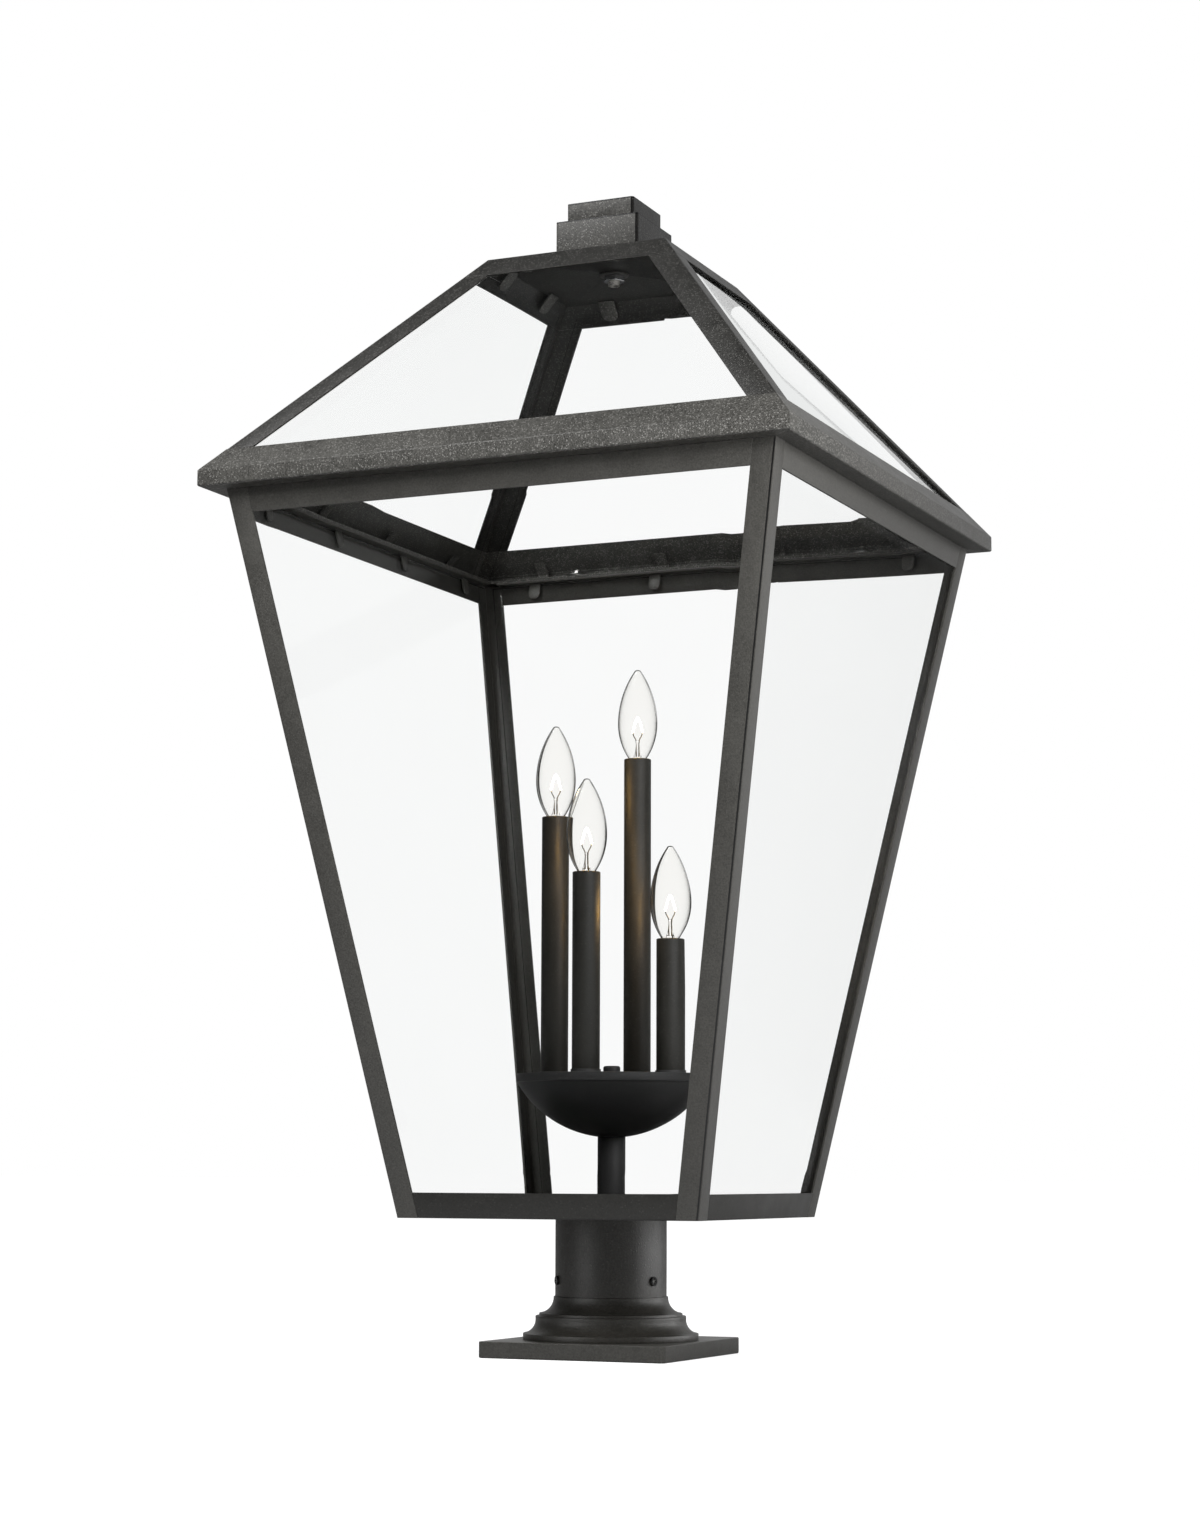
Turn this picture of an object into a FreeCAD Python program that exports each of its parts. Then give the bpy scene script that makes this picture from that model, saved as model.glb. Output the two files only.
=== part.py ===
import FreeCAD, Part
import math
import os
import re
import Sketcher

# A pier mount light: a square glass lantern that tapers downward, with a glazed pyramid roof,
# a stepped cap, a cluster of four candles inside, a round neck and a square pier plate.
# +Z is up. The origin is under the middle of the pier plate. The front of the light faces -Y.

doc = FreeCAD.newDocument("PierMountLight")

# Driving sizes in millimetres, and angles in degrees.
sizes = {
    # pier plate and its moulding
    "plate_half": 82.3,
    "plate_height": 13.3,
    "plate_corner": 4.5,
    "plate_web": 4.0,
    "plate_skirt": 4.0,
    "plate_hub": 40.0,
    "plate_edge": 0.8,
    "anchor_circle": 30.0,
    "anchor_hole": 3.3,
    "wire_hole": 10.0,
    "band_radius": 72.4,
    "band_height": 5.1,
    "lower_cove_height": 12.2,
    "ring_radius": 62.2,
    "ring_height": 2.0,
    "step_radius": 59.2,
    "step_height": 2.2,
    "upper_cove_height": 13.6,
    "shoulder_lip": 1.3,
    "cast_wall": 4.0,
    "stub_height": 44.0,
    "stub_chamfer": 2.0,
    # neck of the lantern and the screws that lock it
    "neck_radius": 46.1,
    "neck_wall": 2.1,
    "neck_length": 64.2,
    "neck_clearance": 0.3,
    "neck_flange": 14.0,
    "screw_height": 13.1,
    "screw_turn": -18.0,
    "screw_radius": 2.5,
    "screw_head_radius": 3.75,
    "screw_head_height": 1.6,
    "screw_slot_width": 1.0,
    "screw_slot_length": 4.6,
    "screw_slot_depth": 0.9,
    "screw_clearance": 0.1,
    # sheet frame of the body
    "wall": 2.0,
    "edge_round": 1.8,
    "leg": 19.0,
    "body_foot_half": 131.4,
    "body_top_half": 239.3,
    "body_height": 587.9,
    "bottom_rail_height": 20.4,
    "bottom_flange": 17.0,
    "top_rail_height": 20.0,
    "top_flange": 14.0,
    "sill_drop": 5.5,
    "sill_depth": 7.5,
    "sill_thick": 1.5,
    "seat_gap": 0.1,
    # glass
    "pane_edge": 2.2,
    "bevel_depth": 2.0,
    "bevel_width": 26.0,
    "pane_inset": 11.0,
    "pane_top_gap": 3.5,
    "roof_pane_inset": 11.0,
    "roof_pane_foot": 0.3,
    "roof_pane_head": 11.0,
    # glass tabs
    "tab_width": 11.0,
    "tab_thick": 1.2,
    "tab_reach": 14.5,
    "tab_inner_place": 61.0,
    "tab_outer_place": 183.0,
    "roof_tab_reach": 13.0,
    "crown_tab_width": 15.0,
    "crown_tab_reach": 19.0,
    "crown_tab_place": 41.0,
    "eave_tab_drop": 3.4,
    "tab_round_share": 0.4,
    # roof
    "eave_overhang": 17.1,
    "fascia_height": 13.5,
    "eave_strip": 19.5,
    "roof_height": 202.7,
    "crown_half": 82.0,
    "crown_height": 18.2,
    "hip_width": 20.4,
    # studs and flanged nuts of the roof
    "stud_place": 140.0,
    "stud_inset": 5.3,
    "stud_radius": 2.0,
    "stud_length": 8.5,
    "stud_clearance": 0.4,
    "nut_clearance": 0.2,
    "nut_disc_radius": 9.5,
    "nut_disc_thick": 2.0,
    "nut_flats": 7.0,
    "nut_height": 3.2,
    # cap
    "cap_lower_half": 38.2,
    "cap_lower_height": 40.1,
    "cap_upper_half": 30.9,
    "cap_upper_height": 17.2,
    "cap_corner": 2.5,
    "cap_wall": 2.0,
    "cap_boss_radius": 9.0,
    # threaded tubes and their nuts
    "tube_radius": 5.0,
    "tube_bore": 3.4,
    "tube_clearance": 0.2,
    "tube_nut_flats": 17.0,
    "tube_nut_height": 5.0,
    "tube_end": 3.5,
    "cap_washer_radius": 12.3,
    "cap_washer_thick": 2.0,
    # floor, stem and bowl
    "floor_thick": 2.0,
    "floor_clearance": 0.5,
    "stem_radius": 11.5,
    "stem_wall": 1.2,
    "stem_length": 62.9,
    "bowl_radius": 79.4,
    "bowl_depth": 44.5,
    "bowl_curve": 90.0,
    "bowl_wall": 1.2,
    "bowl_rim_height": 7.0,
    "bowl_rim_step": 1.0,
    "cover_thick": 1.5,
    "cover_clearance": 0.3,
    "knob_radius": 7.1,
    "knob_height": 7.0,
    "knob_wall": 2.0,
    # candles
    "candle_circle": 52.5,
    "sleeve_radius": 11.5,
    "sleeve_wall": 0.9,
    "sleeve_round": 0.8,
    "short_sleeve": 111.6,
    "sleeve_step": 53.0,
    "cup_radius": 12.4,
    "cup_height": 2.8,
    "cup_clearance": 0.15,
    "holder_radius": 8.6,
    "holder_bore": 6.3,
    "holder_length": 32.0,
    "holder_drop": 4.0,
    "holder_floor": 6.0,
    "holder_stem": 4.0,
    "holder_stem_clearance": 0.1,
    "holder_stem_end": 2.0,
    "bulb_base_radius": 6.0,
    "bulb_base_length": 22.0,
    "bulb_base_rise": 2.0,
    "bulb_tip_contact": 2.2,
    "bulb_collar": 0.6,
    "bulb_radius": 16.8,
    "bulb_neck": 6.4,
    "bulb_belly": 31.0,
    "bulb_length": 77.5,
    "bulb_tip": 3.0,
    "bulb_tip_rise": 1.6,
    "bulb_glass": 0.7,
    # one length that runs every cut past its solid
    "overrun": 5.0,
}

# Places that follow from the driving sizes.
places = {
    "plate_top": "plate_height",
    "band_top": "plate_top + band_height",
    "ring_foot": "band_top + lower_cove_height",
    "ring_top": "ring_foot + ring_height",
    "step_top": "ring_top + step_height",
    "shoulder": "step_top + upper_cove_height",
    "shoulder_radius": "neck_radius + shoulder_lip",
    "neck_bore": "neck_radius - neck_wall",
    "stub_radius": "neck_bore - neck_clearance",
    "stub_bore": "stub_radius - cast_wall",
    "stub_top": "shoulder + stub_height",
    "screw_level": "shoulder + screw_height",
    "body_foot": "shoulder + neck_length",
    "body_top": "body_foot + body_height",
    "body_lean": "(body_top_half - body_foot_half) / body_height",
    "body_roll": "90 deg + atan(body_lean)",
    "body_sin": "sin(body_roll)",
    "body_cos": "cos(body_roll)",
    "flat_wall": "wall / body_sin",
    "round_setback": "edge_round * tan((180 deg - body_roll) / 2)",
    "pane_cover": "max(leg - pane_inset; (top_rail_height - pane_top_gap) / body_sin; sill_drop / body_sin)",
    "pane_sink": "wall + bevel_depth * min(pane_cover; bevel_width) / bevel_width + seat_gap",
    "pane_inner": "pane_sink + pane_edge",
    "sill_top": "body_foot + bottom_rail_height - sill_drop",
    "pane_foot": "(sill_top + seat_gap - body_foot + pane_sink * body_cos) / body_sin",
    "pane_head": "(body_height - pane_top_gap + pane_inner * body_cos) / body_sin",
    "eave_foot": "body_top",
    "eave_top": "eave_foot + fascia_height",
    "roof_top": "eave_top + roof_height",
    "eave_half": "body_top_half + eave_overhang",
    "roof_roll": "atan(roof_height / (eave_half - crown_half))",
    "roof_sin": "sin(roof_roll)",
    "roof_cos": "cos(roof_roll)",
    "roof_lean": "roof_cos / roof_sin",
    "roof_flat_wall": "wall / roof_sin",
    "eave_setback": "edge_round * tan((90 deg - roof_roll) / 2)",
    "hip_flat_width": "hip_width * sqrt(1 + roof_cos * roof_cos)",
    "hip_foot": "eave_top + eave_strip",
    "crown_foot": "roof_top - crown_height",
    "hip_foot_half": "eave_half - eave_strip * roof_lean",
    "crown_foot_half": "crown_half + crown_height * roof_lean",
    "crown_ceiling": "roof_top - wall",
    "eave_flange": "eave_half - body_top_half + top_flange",
    "roof_side_cover": "hip_width - roof_pane_inset",
    "roof_foot_cover": "eave_strip / roof_sin - roof_pane_foot",
    "roof_head_cover": "crown_height / roof_sin - roof_pane_head",
    "roof_pane_cover": "max(roof_side_cover; roof_foot_cover; roof_head_cover)",
    "roof_pane_sink": "wall + bevel_depth * min(roof_pane_cover; bevel_width) / bevel_width + seat_gap",
    "roof_pane_inner": "roof_pane_sink + pane_edge",
    "roof_slope": "roof_height / roof_sin",
    "floor_foot": "body_foot + wall",
    "floor_top": "floor_foot + floor_thick",
    "bowl_foot": "floor_top + stem_length",
    "bowl_rim_foot": "bowl_foot + bowl_depth",
    "bowl_rim_top": "bowl_rim_foot + bowl_rim_height",
    "cover_foot": "bowl_rim_top - cover_thick",
    "cap_foot": "roof_top",
    "cap_step": "cap_foot + cap_lower_height",
    "cap_top": "cap_step + cap_upper_height",
    "nipple_foot": "crown_ceiling - cap_washer_thick - tube_nut_height - tube_end",
    "nipple_top": "cap_top - cap_wall - tube_end",
}


# Spreadsheets
def fillSheet(name, rows):
    sheet = doc.addObject("Spreadsheet::Sheet", name)
    for row, (alias, content) in enumerate(rows.items(), start=1):
        sheet.set(f"A{row}", alias)
        sheet.set(f"B{row}", content)
        sheet.setAlias(f"B{row}", alias)
    doc.recompute()
    return sheet


# Puts the name of its sheet before each size and place. A rule on the sheet of places names those bare.
def withSheets(expression, placesSheet="Places."):
    def owner(match):
        word = match.group(0)
        if word in sizes:
            return "Sizes." + word
        if word in places:
            return placesSheet + word
        return word

    return re.sub(r"[A-Za-z_]+", owner, expression)


sizeSheet = fillSheet("Sizes", {name: str(value) for name, value in sizes.items()})
placeSheet = fillSheet("Places", {name: "=" + withSheets(rule, "") for name, rule in places.items()})


def value(expression):
    found = placeSheet.evalExpression(withSheets(expression))
    return float(getattr(found, "Value", found))


def bind(item, attribute, expression):
    item.setExpression(attribute, withSheets(expression))


# Bodies and sketches
def newBody(name, turn="0"):
    body = doc.addObject("PartDesign::Body", name)
    body.Label = name
    body.AllowCompound = True
    bind(body, "Placement", f"placement(vector(0; 0; 0); rotation({turn}; 0; 0))")
    return body


def originPlane(body, role):
    return next(plane for plane in body.Origin.OriginFeatures if plane.Role == role)


def originAxis(body, role):
    return next(axis for axis in body.Origin.OriginFeatures if axis.Role == role)


# An outline is a list of points (x, y), each given by two expressions.
# A third expression makes the side that leads to the point an arc of that radius:
# with a plus sign in a fourth place it turns left, with a minus sign it turns right.
def drawLoop(sketch, outline):
    first = sketch.GeometryCount
    corners = [FreeCAD.Vector(value(point[0]), value(point[1]), 0) for point in outline]
    count = len(outline)
    for index in range(count):
        start = corners[index]
        end = corners[(index + 1) % count]
        target = outline[(index + 1) % count]
        if len(target) == 2:
            sketch.addGeometry(Part.LineSegment(start, end), False)
            continue
        radius = value(target[2])
        chord = end - start
        middle = (start + end) * 0.5
        side = FreeCAD.Vector(-chord.y, chord.x, 0).normalize()
        turn = 1 if target[3] == "+" else -1
        reach = math.sqrt(max(radius * radius - chord.Length * chord.Length / 4, 0))
        centre = middle + side * reach * turn
        bulge = (middle - centre).normalize() if reach > 0 else side * -turn
        sketch.addGeometry(Part.Arc(start, centre + bulge * radius, end), False)
    ends = []
    for index in range(count):
        arc = len(outline[(index + 1) % count]) > 2
        leftTurn = arc and outline[(index + 1) % count][3] == "+"
        ends.append((1, 2) if not arc or leftTurn else (2, 1))
    for index in range(count):
        following = (index + 1) % count
        pair = (first + index, ends[index][1], first + following, ends[following][0])
        sketch.addConstraint(Sketcher.Constraint("Coincident", *pair))
    for index, point in enumerate(outline):
        dimension(sketch, "DistanceX", first + index, ends[index][0], point[0], corners[index].x)
        dimension(sketch, "DistanceY", first + index, ends[index][0], point[1], corners[index].y)
    for index in range(count):
        target = outline[(index + 1) % count]
        if len(target) > 2:
            place = sketch.addConstraint(Sketcher.Constraint("Radius", first + index, value(target[2])))
            bind(sketch, f"Constraints[{place}]", target[2])


def dimension(sketch, kind, item, end, expression, number):
    place = sketch.addConstraint(Sketcher.Constraint(kind, -1, 1, item, end, number))
    bind(sketch, f"Constraints[{place}]", expression)


# A circle is given by its centre and radius as three expressions.
def drawCircle(sketch, circle):
    centre = FreeCAD.Vector(value(circle[0]), value(circle[1]), 0)
    item = sketch.addGeometry(Part.Circle(centre, FreeCAD.Vector(0, 0, 1), value(circle[2])), False)
    dimension(sketch, "DistanceX", item, 3, circle[0], centre.x)
    dimension(sketch, "DistanceY", item, 3, circle[1], centre.y)
    place = sketch.addConstraint(Sketcher.Constraint("Radius", item, value(circle[2])))
    bind(sketch, f"Constraints[{place}]", circle[2])


def newSketch(body, role, loops=(), circles=(), level="0", offset=None):
    sketch = body.newObject("Sketcher::SketchObject", body.Name + "_sketch")
    sketch.AttachmentSupport = [(originPlane(body, role), "")]
    sketch.MapMode = "FlatFace"
    bind(sketch, "AttachmentOffset", offset or f"placement(vector(0; 0; {level}); rotation(0; 0; 0))")
    for loop in loops:
        drawLoop(sketch, loop)
    for circle in circles:
        drawCircle(sketch, circle)
    return sketch


def newFeature(body, kind, profile):
    feature = body.newObject("PartDesign::" + kind, body.Name + "_" + kind.lower())
    feature.Profile = profile
    return feature


def pad(body, sketch, length, middle=False, backward=False):
    feature = newFeature(body, "Pad", sketch)
    bind(feature, "Length", length)
    feature.Midplane = middle
    feature.Reversed = backward
    doc.recompute()
    return feature


def pocket(body, sketch, length, middle=False, backward=False):
    before = body.Shape.Volume
    feature = newFeature(body, "Pocket", sketch)
    bind(feature, "Length", length)
    feature.Midplane = middle
    feature.Reversed = backward
    doc.recompute()
    if body.Shape.Volume >= before:
        raise RuntimeError(body.Name + ": a pocket cut nothing")
    return feature


def revolve(body, sketch):
    feature = newFeature(body, "Revolution", sketch)
    feature.ReferenceAxis = (sketch, ["V_Axis"])
    feature.Angle = 360
    doc.recompute()
    return feature


def loft(body, sketches, cutting=False):
    before = body.Shape.Volume if cutting else 0
    feature = newFeature(body, "SubtractiveLoft" if cutting else "AdditiveLoft", sketches[0])
    feature.Sections = sketches[1:]
    feature.Ruled = True
    doc.recompute()
    if cutting and body.Shape.Volume >= before:
        raise RuntimeError(body.Name + ": a loft cut nothing")
    return feature


def around(body, features, count, role="Z_Axis"):
    pattern = body.newObject("PartDesign::PolarPattern", body.Name + "_around")
    pattern.Originals = features
    pattern.Axis = (originAxis(body, role), [""])
    pattern.Angle = 360
    pattern.Occurrences = count
    body.Tip = pattern
    doc.recompute()
    return pattern


def roundEdges(body, radius, wanted):
    base = body.Tip
    names = [f"Edge{n}" for n, edge in enumerate(base.Shape.Edges, start=1) if wanted(edge)]
    if not names:
        raise RuntimeError(body.Name + ": no edge to round")
    feature = body.newObject("PartDesign::Fillet", body.Name + "_fillet")
    feature.Base = (base, names)
    bind(feature, "Radius", radius)
    doc.recompute()
    return feature


# Outlines that several pieces share
def roundedSquare(half, corner):
    inner = f"{half} - {corner}"
    return [
        (inner, f"-({half})"),
        (half, f"-({inner})", corner, "+"),
        (half, inner),
        (inner, half, corner, "+"),
        (f"-({inner})", half),
        (f"-({half})", inner, corner, "+"),
        (f"-({half})", f"-({inner})"),
        (f"-({inner})", f"-({half})", corner, "+"),
    ]


def square(half):
    return [(half, f"-({half})"), (half, half), (f"-({half})", half), (f"-({half})", f"-({half})")]


# Four places at one distance from the axis, clockwise from +X
def fourPlaces(distance):
    return [(distance, "0"), ("0", f"-{distance}"), (f"-{distance}", "0"), ("0", distance)]


# One corner angle of bent sheet, in plan, in the corner between +X and -Y.
def cornerAngle(half, width, thick):
    return [
        (f"{half} - {width}", f"-({half})"),
        (f"{half} - edge_round", f"-({half})"),
        (half, f"edge_round - ({half})", "edge_round", "+"),
        (half, f"{width} - ({half})"),
        (f"{half} - {thick}", f"{width} - ({half})"),
        (f"{half} - {thick}", f"{thick} - ({half})"),
        (f"{half} - {width}", f"{thick} - ({half})"),
    ]


def bodyHalf(level):
    return f"body_foot_half + body_lean * (({level}) - body_foot)"


def roofHalf(level):
    return f"eave_half - roof_lean * (({level}) - eave_top)"


# The plane of one body face or roof face, sunk inward by a depth.
def bodyFace(sink):
    return (
        f"placement(vector(0; -body_foot_half + ({sink}) * body_sin; body_foot - ({sink}) * body_cos); "
        "rotation(0; 0; body_roll))"
    )


def roofFace(sink):
    return (
        f"placement(vector(0; -eave_half + ({sink}) * roof_sin; eave_top - ({sink}) * roof_cos); "
        "rotation(0; 0; roof_roll))"
    )


def tongue(place, width, head, reach):
    left = f"{place} - {width} / 2"
    right = f"{place} + {width} / 2"
    low = f"{head} - {reach}"
    corner = f"tab_round_share * {width}"
    return [
        (left, f"{low} + {corner}"),
        (f"{left} + {corner}", low, corner, "+"),
        (f"{right} - {corner}", low),
        (right, f"{low} + {corner}", corner, "+"),
        (right, head),
        (left, head),
    ]


# Part primitives
def cylinder(name, radius, height, level, x="0", y="0"):
    item = doc.addObject("Part::Cylinder", name)
    bind(item, "Radius", radius)
    bind(item, "Height", height)
    bind(item, "Placement", f"placement(vector({x}; {y}; {level}); rotation(0; 0; 0))")
    return item


def hexagon(name, flats, height, level, x="0", y="0"):
    item = doc.addObject("Part::Prism", name)
    item.Polygon = 6
    bind(item, "Circumradius", f"{flats} / 2 / cos(30)")
    bind(item, "Height", height)
    bind(item, "Placement", f"placement(vector({x}; {y}; {level}); rotation(0; 0; 0))")
    return item


def cut(name, base, tool):
    item = doc.addObject("Part::Cut", name)
    item.Base = base
    item.Tool = tool
    return item


def fuse(name, items):
    item = doc.addObject("Part::MultiFuse", name)
    item.Shapes = items
    return item


def group(name, items):
    item = doc.addObject("Part::Compound", name)
    item.Links = items
    item.Label = name
    return item


nodes = []


# Pier plate: a cast tray with a hub for the anchors and the wire
def makePierPlate():
    body = newBody("pier_plate")
    pad(body, newSketch(body, "XY_Plane", [roundedSquare("plate_half", "plate_corner")]), "plate_height")
    tray = newSketch(body, "XY_Plane", [square("plate_half - plate_skirt")], [("0", "0", "plate_hub")])
    pocket(body, tray, "plate_height - plate_web", backward=True)
    holes = [("0", "0", "wire_hole")]
    for x, y in fourPlaces("anchor_circle"):
        holes.append((x, y, "anchor_hole"))
    pocket(body, newSketch(body, "XY_Plane", [], holes), "plate_height", backward=True)
    top = value("plate_top")
    rim = value("plate_half - plate_corner * 2")

    def onRim(point):
        return math.isclose(point.z, top, rel_tol=1e-6) and max(abs(point.x), abs(point.y)) > rim

    def onTopRim(edge):
        return all(onRim(vertex.Point) for vertex in edge.Vertexes)

    roundEdges(body, "plate_edge", onTopRim)
    nodes.append(body)


# Round moulding with two coves, and the stub that carries the lantern
def makeMoulding():
    body = newBody("pier_base_moulding")
    lowerCove = "hypot(band_radius - ring_radius; lower_cove_height) / sqrt(2)"
    upperCove = "hypot(step_radius - shoulder_radius; upper_cove_height) / sqrt(2)"
    outline = [
        ("band_radius - cast_wall", "plate_top"),
        ("band_radius", "plate_top"),
        ("band_radius", "band_top"),
        ("ring_radius", "ring_foot", lowerCove, "-"),
        ("ring_radius", "ring_top"),
        ("step_radius", "ring_top"),
        ("step_radius", "step_top"),
        ("shoulder_radius", "shoulder", upperCove, "-"),
        ("stub_radius", "shoulder"),
        ("stub_radius", "stub_top - stub_chamfer"),
        ("stub_radius - stub_chamfer", "stub_top"),
        ("stub_bore", "stub_top"),
        ("stub_bore", "shoulder - cast_wall"),
        ("step_radius - 2 * cast_wall", "ring_foot - cast_wall"),
        ("ring_radius - cast_wall", "band_top"),
    ]
    revolve(body, newSketch(body, "XZ_Plane", [outline]))
    nodes.append(body)


screwCount = 3


# Neck of the lantern: a tube with a flange under the floor and a hole for each screw
def makeNeck():
    body = newBody("neck", turn="screw_turn")
    outline = [
        ("neck_bore", "shoulder"),
        ("neck_radius", "shoulder"),
        ("neck_radius", "body_foot"),
        ("neck_radius + neck_flange", "body_foot"),
        ("neck_radius + neck_flange", "floor_foot"),
        ("neck_bore", "floor_foot"),
    ]
    revolve(body, newSketch(body, "XZ_Plane", [outline]))
    hole = newSketch(body, "YZ_Plane", [], [("0", "screw_level", "screw_radius + screw_clearance")])
    first = pocket(body, hole, "neck_radius + overrun", backward=True)
    around(body, [first], screwCount)
    nodes.append(body)


# Set screws with a cross recess
def makeSetScrew(index):
    name = f"set_screw_{index + 1}"
    body = newBody(name)
    turn = f"screw_turn + {index} * 360 / {screwCount}"
    tip = "stub_radius + screw_clearance"
    place = f"vector(({tip}) * cos({turn}); ({tip}) * sin({turn}); screw_level)"
    bind(body, "Placement", f"placement({place}; rotation({turn}; 90; 0))")
    shank = f"neck_radius + screw_clearance - ({tip})"
    outline = [
        ("0", "0"),
        ("screw_radius", "0"),
        ("screw_radius", shank),
        ("screw_head_radius", shank),
        ("screw_head_radius", f"{shank} + screw_head_height"),
        ("0", f"{shank} + screw_head_height"),
    ]
    revolve(body, newSketch(body, "XZ_Plane", [outline]))
    half = "screw_slot_width / 2"
    reach = "screw_slot_length / 2"
    cross = [
        (reach, f"-{half}"),
        (reach, half),
        (half, half),
        (half, reach),
        (f"-{half}", reach),
        (f"-{half}", half),
        (f"-{reach}", half),
        (f"-{reach}", f"-{half}"),
        (f"-{half}", f"-{half}"),
        (f"-{half}", f"-{reach}"),
        (half, f"-{reach}"),
        (half, f"-{half}"),
    ]
    face = newSketch(body, "XY_Plane", [cross], level=f"{shank} + screw_head_height")
    pocket(body, face, "screw_slot_depth")
    nodes.append(body)


# Corner posts of the body
def makeCornerPost(side):
    body = newBody(f"corner_post_{side[0]}", turn=side[1])
    foot = newSketch(body, "XY_Plane", [cornerAngle("body_foot_half", "leg", "flat_wall")], level="body_foot")
    head = newSketch(body, "XY_Plane", [cornerAngle("body_top_half", "leg", "flat_wall")], level="body_top")
    loft(body, [foot, head])
    nodes.append(body)


# A rail is cut off at both ends along the legs of the posts.
def trimToPosts(body, low, high):
    far = "body_top_half + overrun"
    right = [
        (f"{bodyHalf(low)} - leg", low),
        (far, low),
        (far, high),
        (f"{bodyHalf(high)} - leg", high),
    ]
    left = [(f"-({x})", z) for x, z in reversed(right)]
    pocket(body, newSketch(body, "XZ_Plane", [right, left]), "2 * (body_top_half + overrun)", middle=True)


def makeBottomRail(side):
    body = newBody(f"bottom_rail_{side[0]}", turn=side[1])
    top = "body_foot + bottom_rail_height"
    ledge = "sill_top - sill_thick"
    outline = [
        ("round_setback - body_foot_half", "body_foot"),
        ("bottom_flange - body_foot_half", "body_foot"),
        ("bottom_flange - body_foot_half", "body_foot + wall"),
        (f"flat_wall - ({bodyHalf('body_foot + wall')})", "body_foot + wall"),
        (f"flat_wall - ({bodyHalf(ledge)})", ledge),
        (f"flat_wall + sill_depth - ({bodyHalf('sill_top')})", ledge),
        (f"flat_wall + sill_depth - ({bodyHalf('sill_top')})", "sill_top"),
        (f"flat_wall - ({bodyHalf('sill_top')})", "sill_top"),
        (f"flat_wall - ({bodyHalf(top)})", top),
        (f"-({bodyHalf(top)})", top),
        ("round_setback * body_cos - body_foot_half", "body_foot + round_setback * body_sin"),
    ]
    outline[0] = (*outline[0], "edge_round", "+")
    pad(body, newSketch(body, "YZ_Plane", [outline]), "2 * body_top_half", middle=True)
    trimToPosts(body, "body_foot - overrun", f"{top} + overrun")
    nodes.append(body)


def makeTopRail(side):
    body = newBody(f"top_rail_{side[0]}", turn=side[1])
    low = "body_top - top_rail_height"
    shelf = "body_top - wall"
    outline = [
        (f"-({bodyHalf(low)})", low),
        (f"flat_wall - ({bodyHalf(low)})", low),
        (f"flat_wall - ({bodyHalf(shelf)})", shelf),
        ("top_flange - body_top_half", shelf),
        ("top_flange - body_top_half", "body_top"),
        ("-body_top_half", "body_top"),
    ]
    pad(body, newSketch(body, "YZ_Plane", [outline]), "2 * (body_top_half + overrun)", middle=True)
    trimToPosts(body, f"{low} - overrun", "body_top + overrun")
    nodes.append(body)


# A pane is a flat plate with a wide bevel on its outer face.
def makePane(name, turn, face, sink, outline, inset):
    body = newBody(name, turn=turn)
    inner = newSketch(body, "XY_Plane", [outline], offset=face(f"{sink} + pane_edge"))
    pad(body, inner, "pane_edge")
    edge = newSketch(body, "XY_Plane", [outline], offset=face(sink))
    flat = newSketch(body, "XY_Plane", [inset], offset=face(f"{sink} - bevel_depth"))
    loft(body, [edge, flat])
    nodes.append(body)


# Four sides of a pane between two levels of its slope. The slanted sides stand in from the corner line.
def paneOutline(half, spread, low, high, width):
    lowHalf = f"{half} + {spread} * ({low}) - ({width})"
    highHalf = f"{half} + {spread} * ({high}) - ({width})"
    return [(f"-({lowHalf})", low), (lowHalf, low), (highHalf, high), (f"-({highHalf})", high)]


def makeSidePane(side):
    slant = "sqrt(1 + body_cos * body_cos)"
    outline = paneOutline("body_foot_half", "(-body_cos)", "pane_foot", "pane_head", "pane_inset")
    inset = paneOutline(
        "body_foot_half",
        "(-body_cos)",
        "pane_foot + bevel_width",
        "pane_head - bevel_width",
        f"pane_inset + bevel_width * {slant}",
    )
    makePane(f"side_pane_{side[0]}", side[1], bodyFace, "pane_sink", outline, inset)


def makeRoofPane(side):
    slant = "sqrt(1 + roof_cos * roof_cos)"
    low = "roof_pane_foot"
    high = "roof_slope - roof_pane_head"
    sunk = "roof_pane_sink * roof_sin"
    outline = paneOutline("eave_half", "(-roof_cos)", low, high, f"{sunk} + roof_pane_inset * {slant}")
    inset = paneOutline(
        "eave_half",
        "(-roof_cos)",
        f"{low} + bevel_width",
        f"{high} - bevel_width",
        f"{sunk} + (roof_pane_inset + bevel_width) * {slant}",
    )
    makePane(f"roof_pane_{side[0]}", side[1], roofFace, "roof_pane_sink", outline, inset)


# Tongues that hang from the top rails and hold the side panes
def makeSidePaneTabs():
    body = newBody("side_pane_tabs")
    sink = "pane_inner + seat_gap"
    head = f"(body_height - wall + ({sink} + tab_thick) * body_cos) / body_sin"
    loops = []
    for place in ("-tab_outer_place", "-tab_inner_place", "tab_inner_place", "tab_outer_place"):
        loops.append(tongue(place, "tab_width", head, "tab_reach"))
    tabs = pad(body, newSketch(body, "XY_Plane", loops, offset=bodyFace(sink)), "tab_thick", backward=True)
    around(body, [tabs], 4)
    nodes.append(body)


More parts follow.
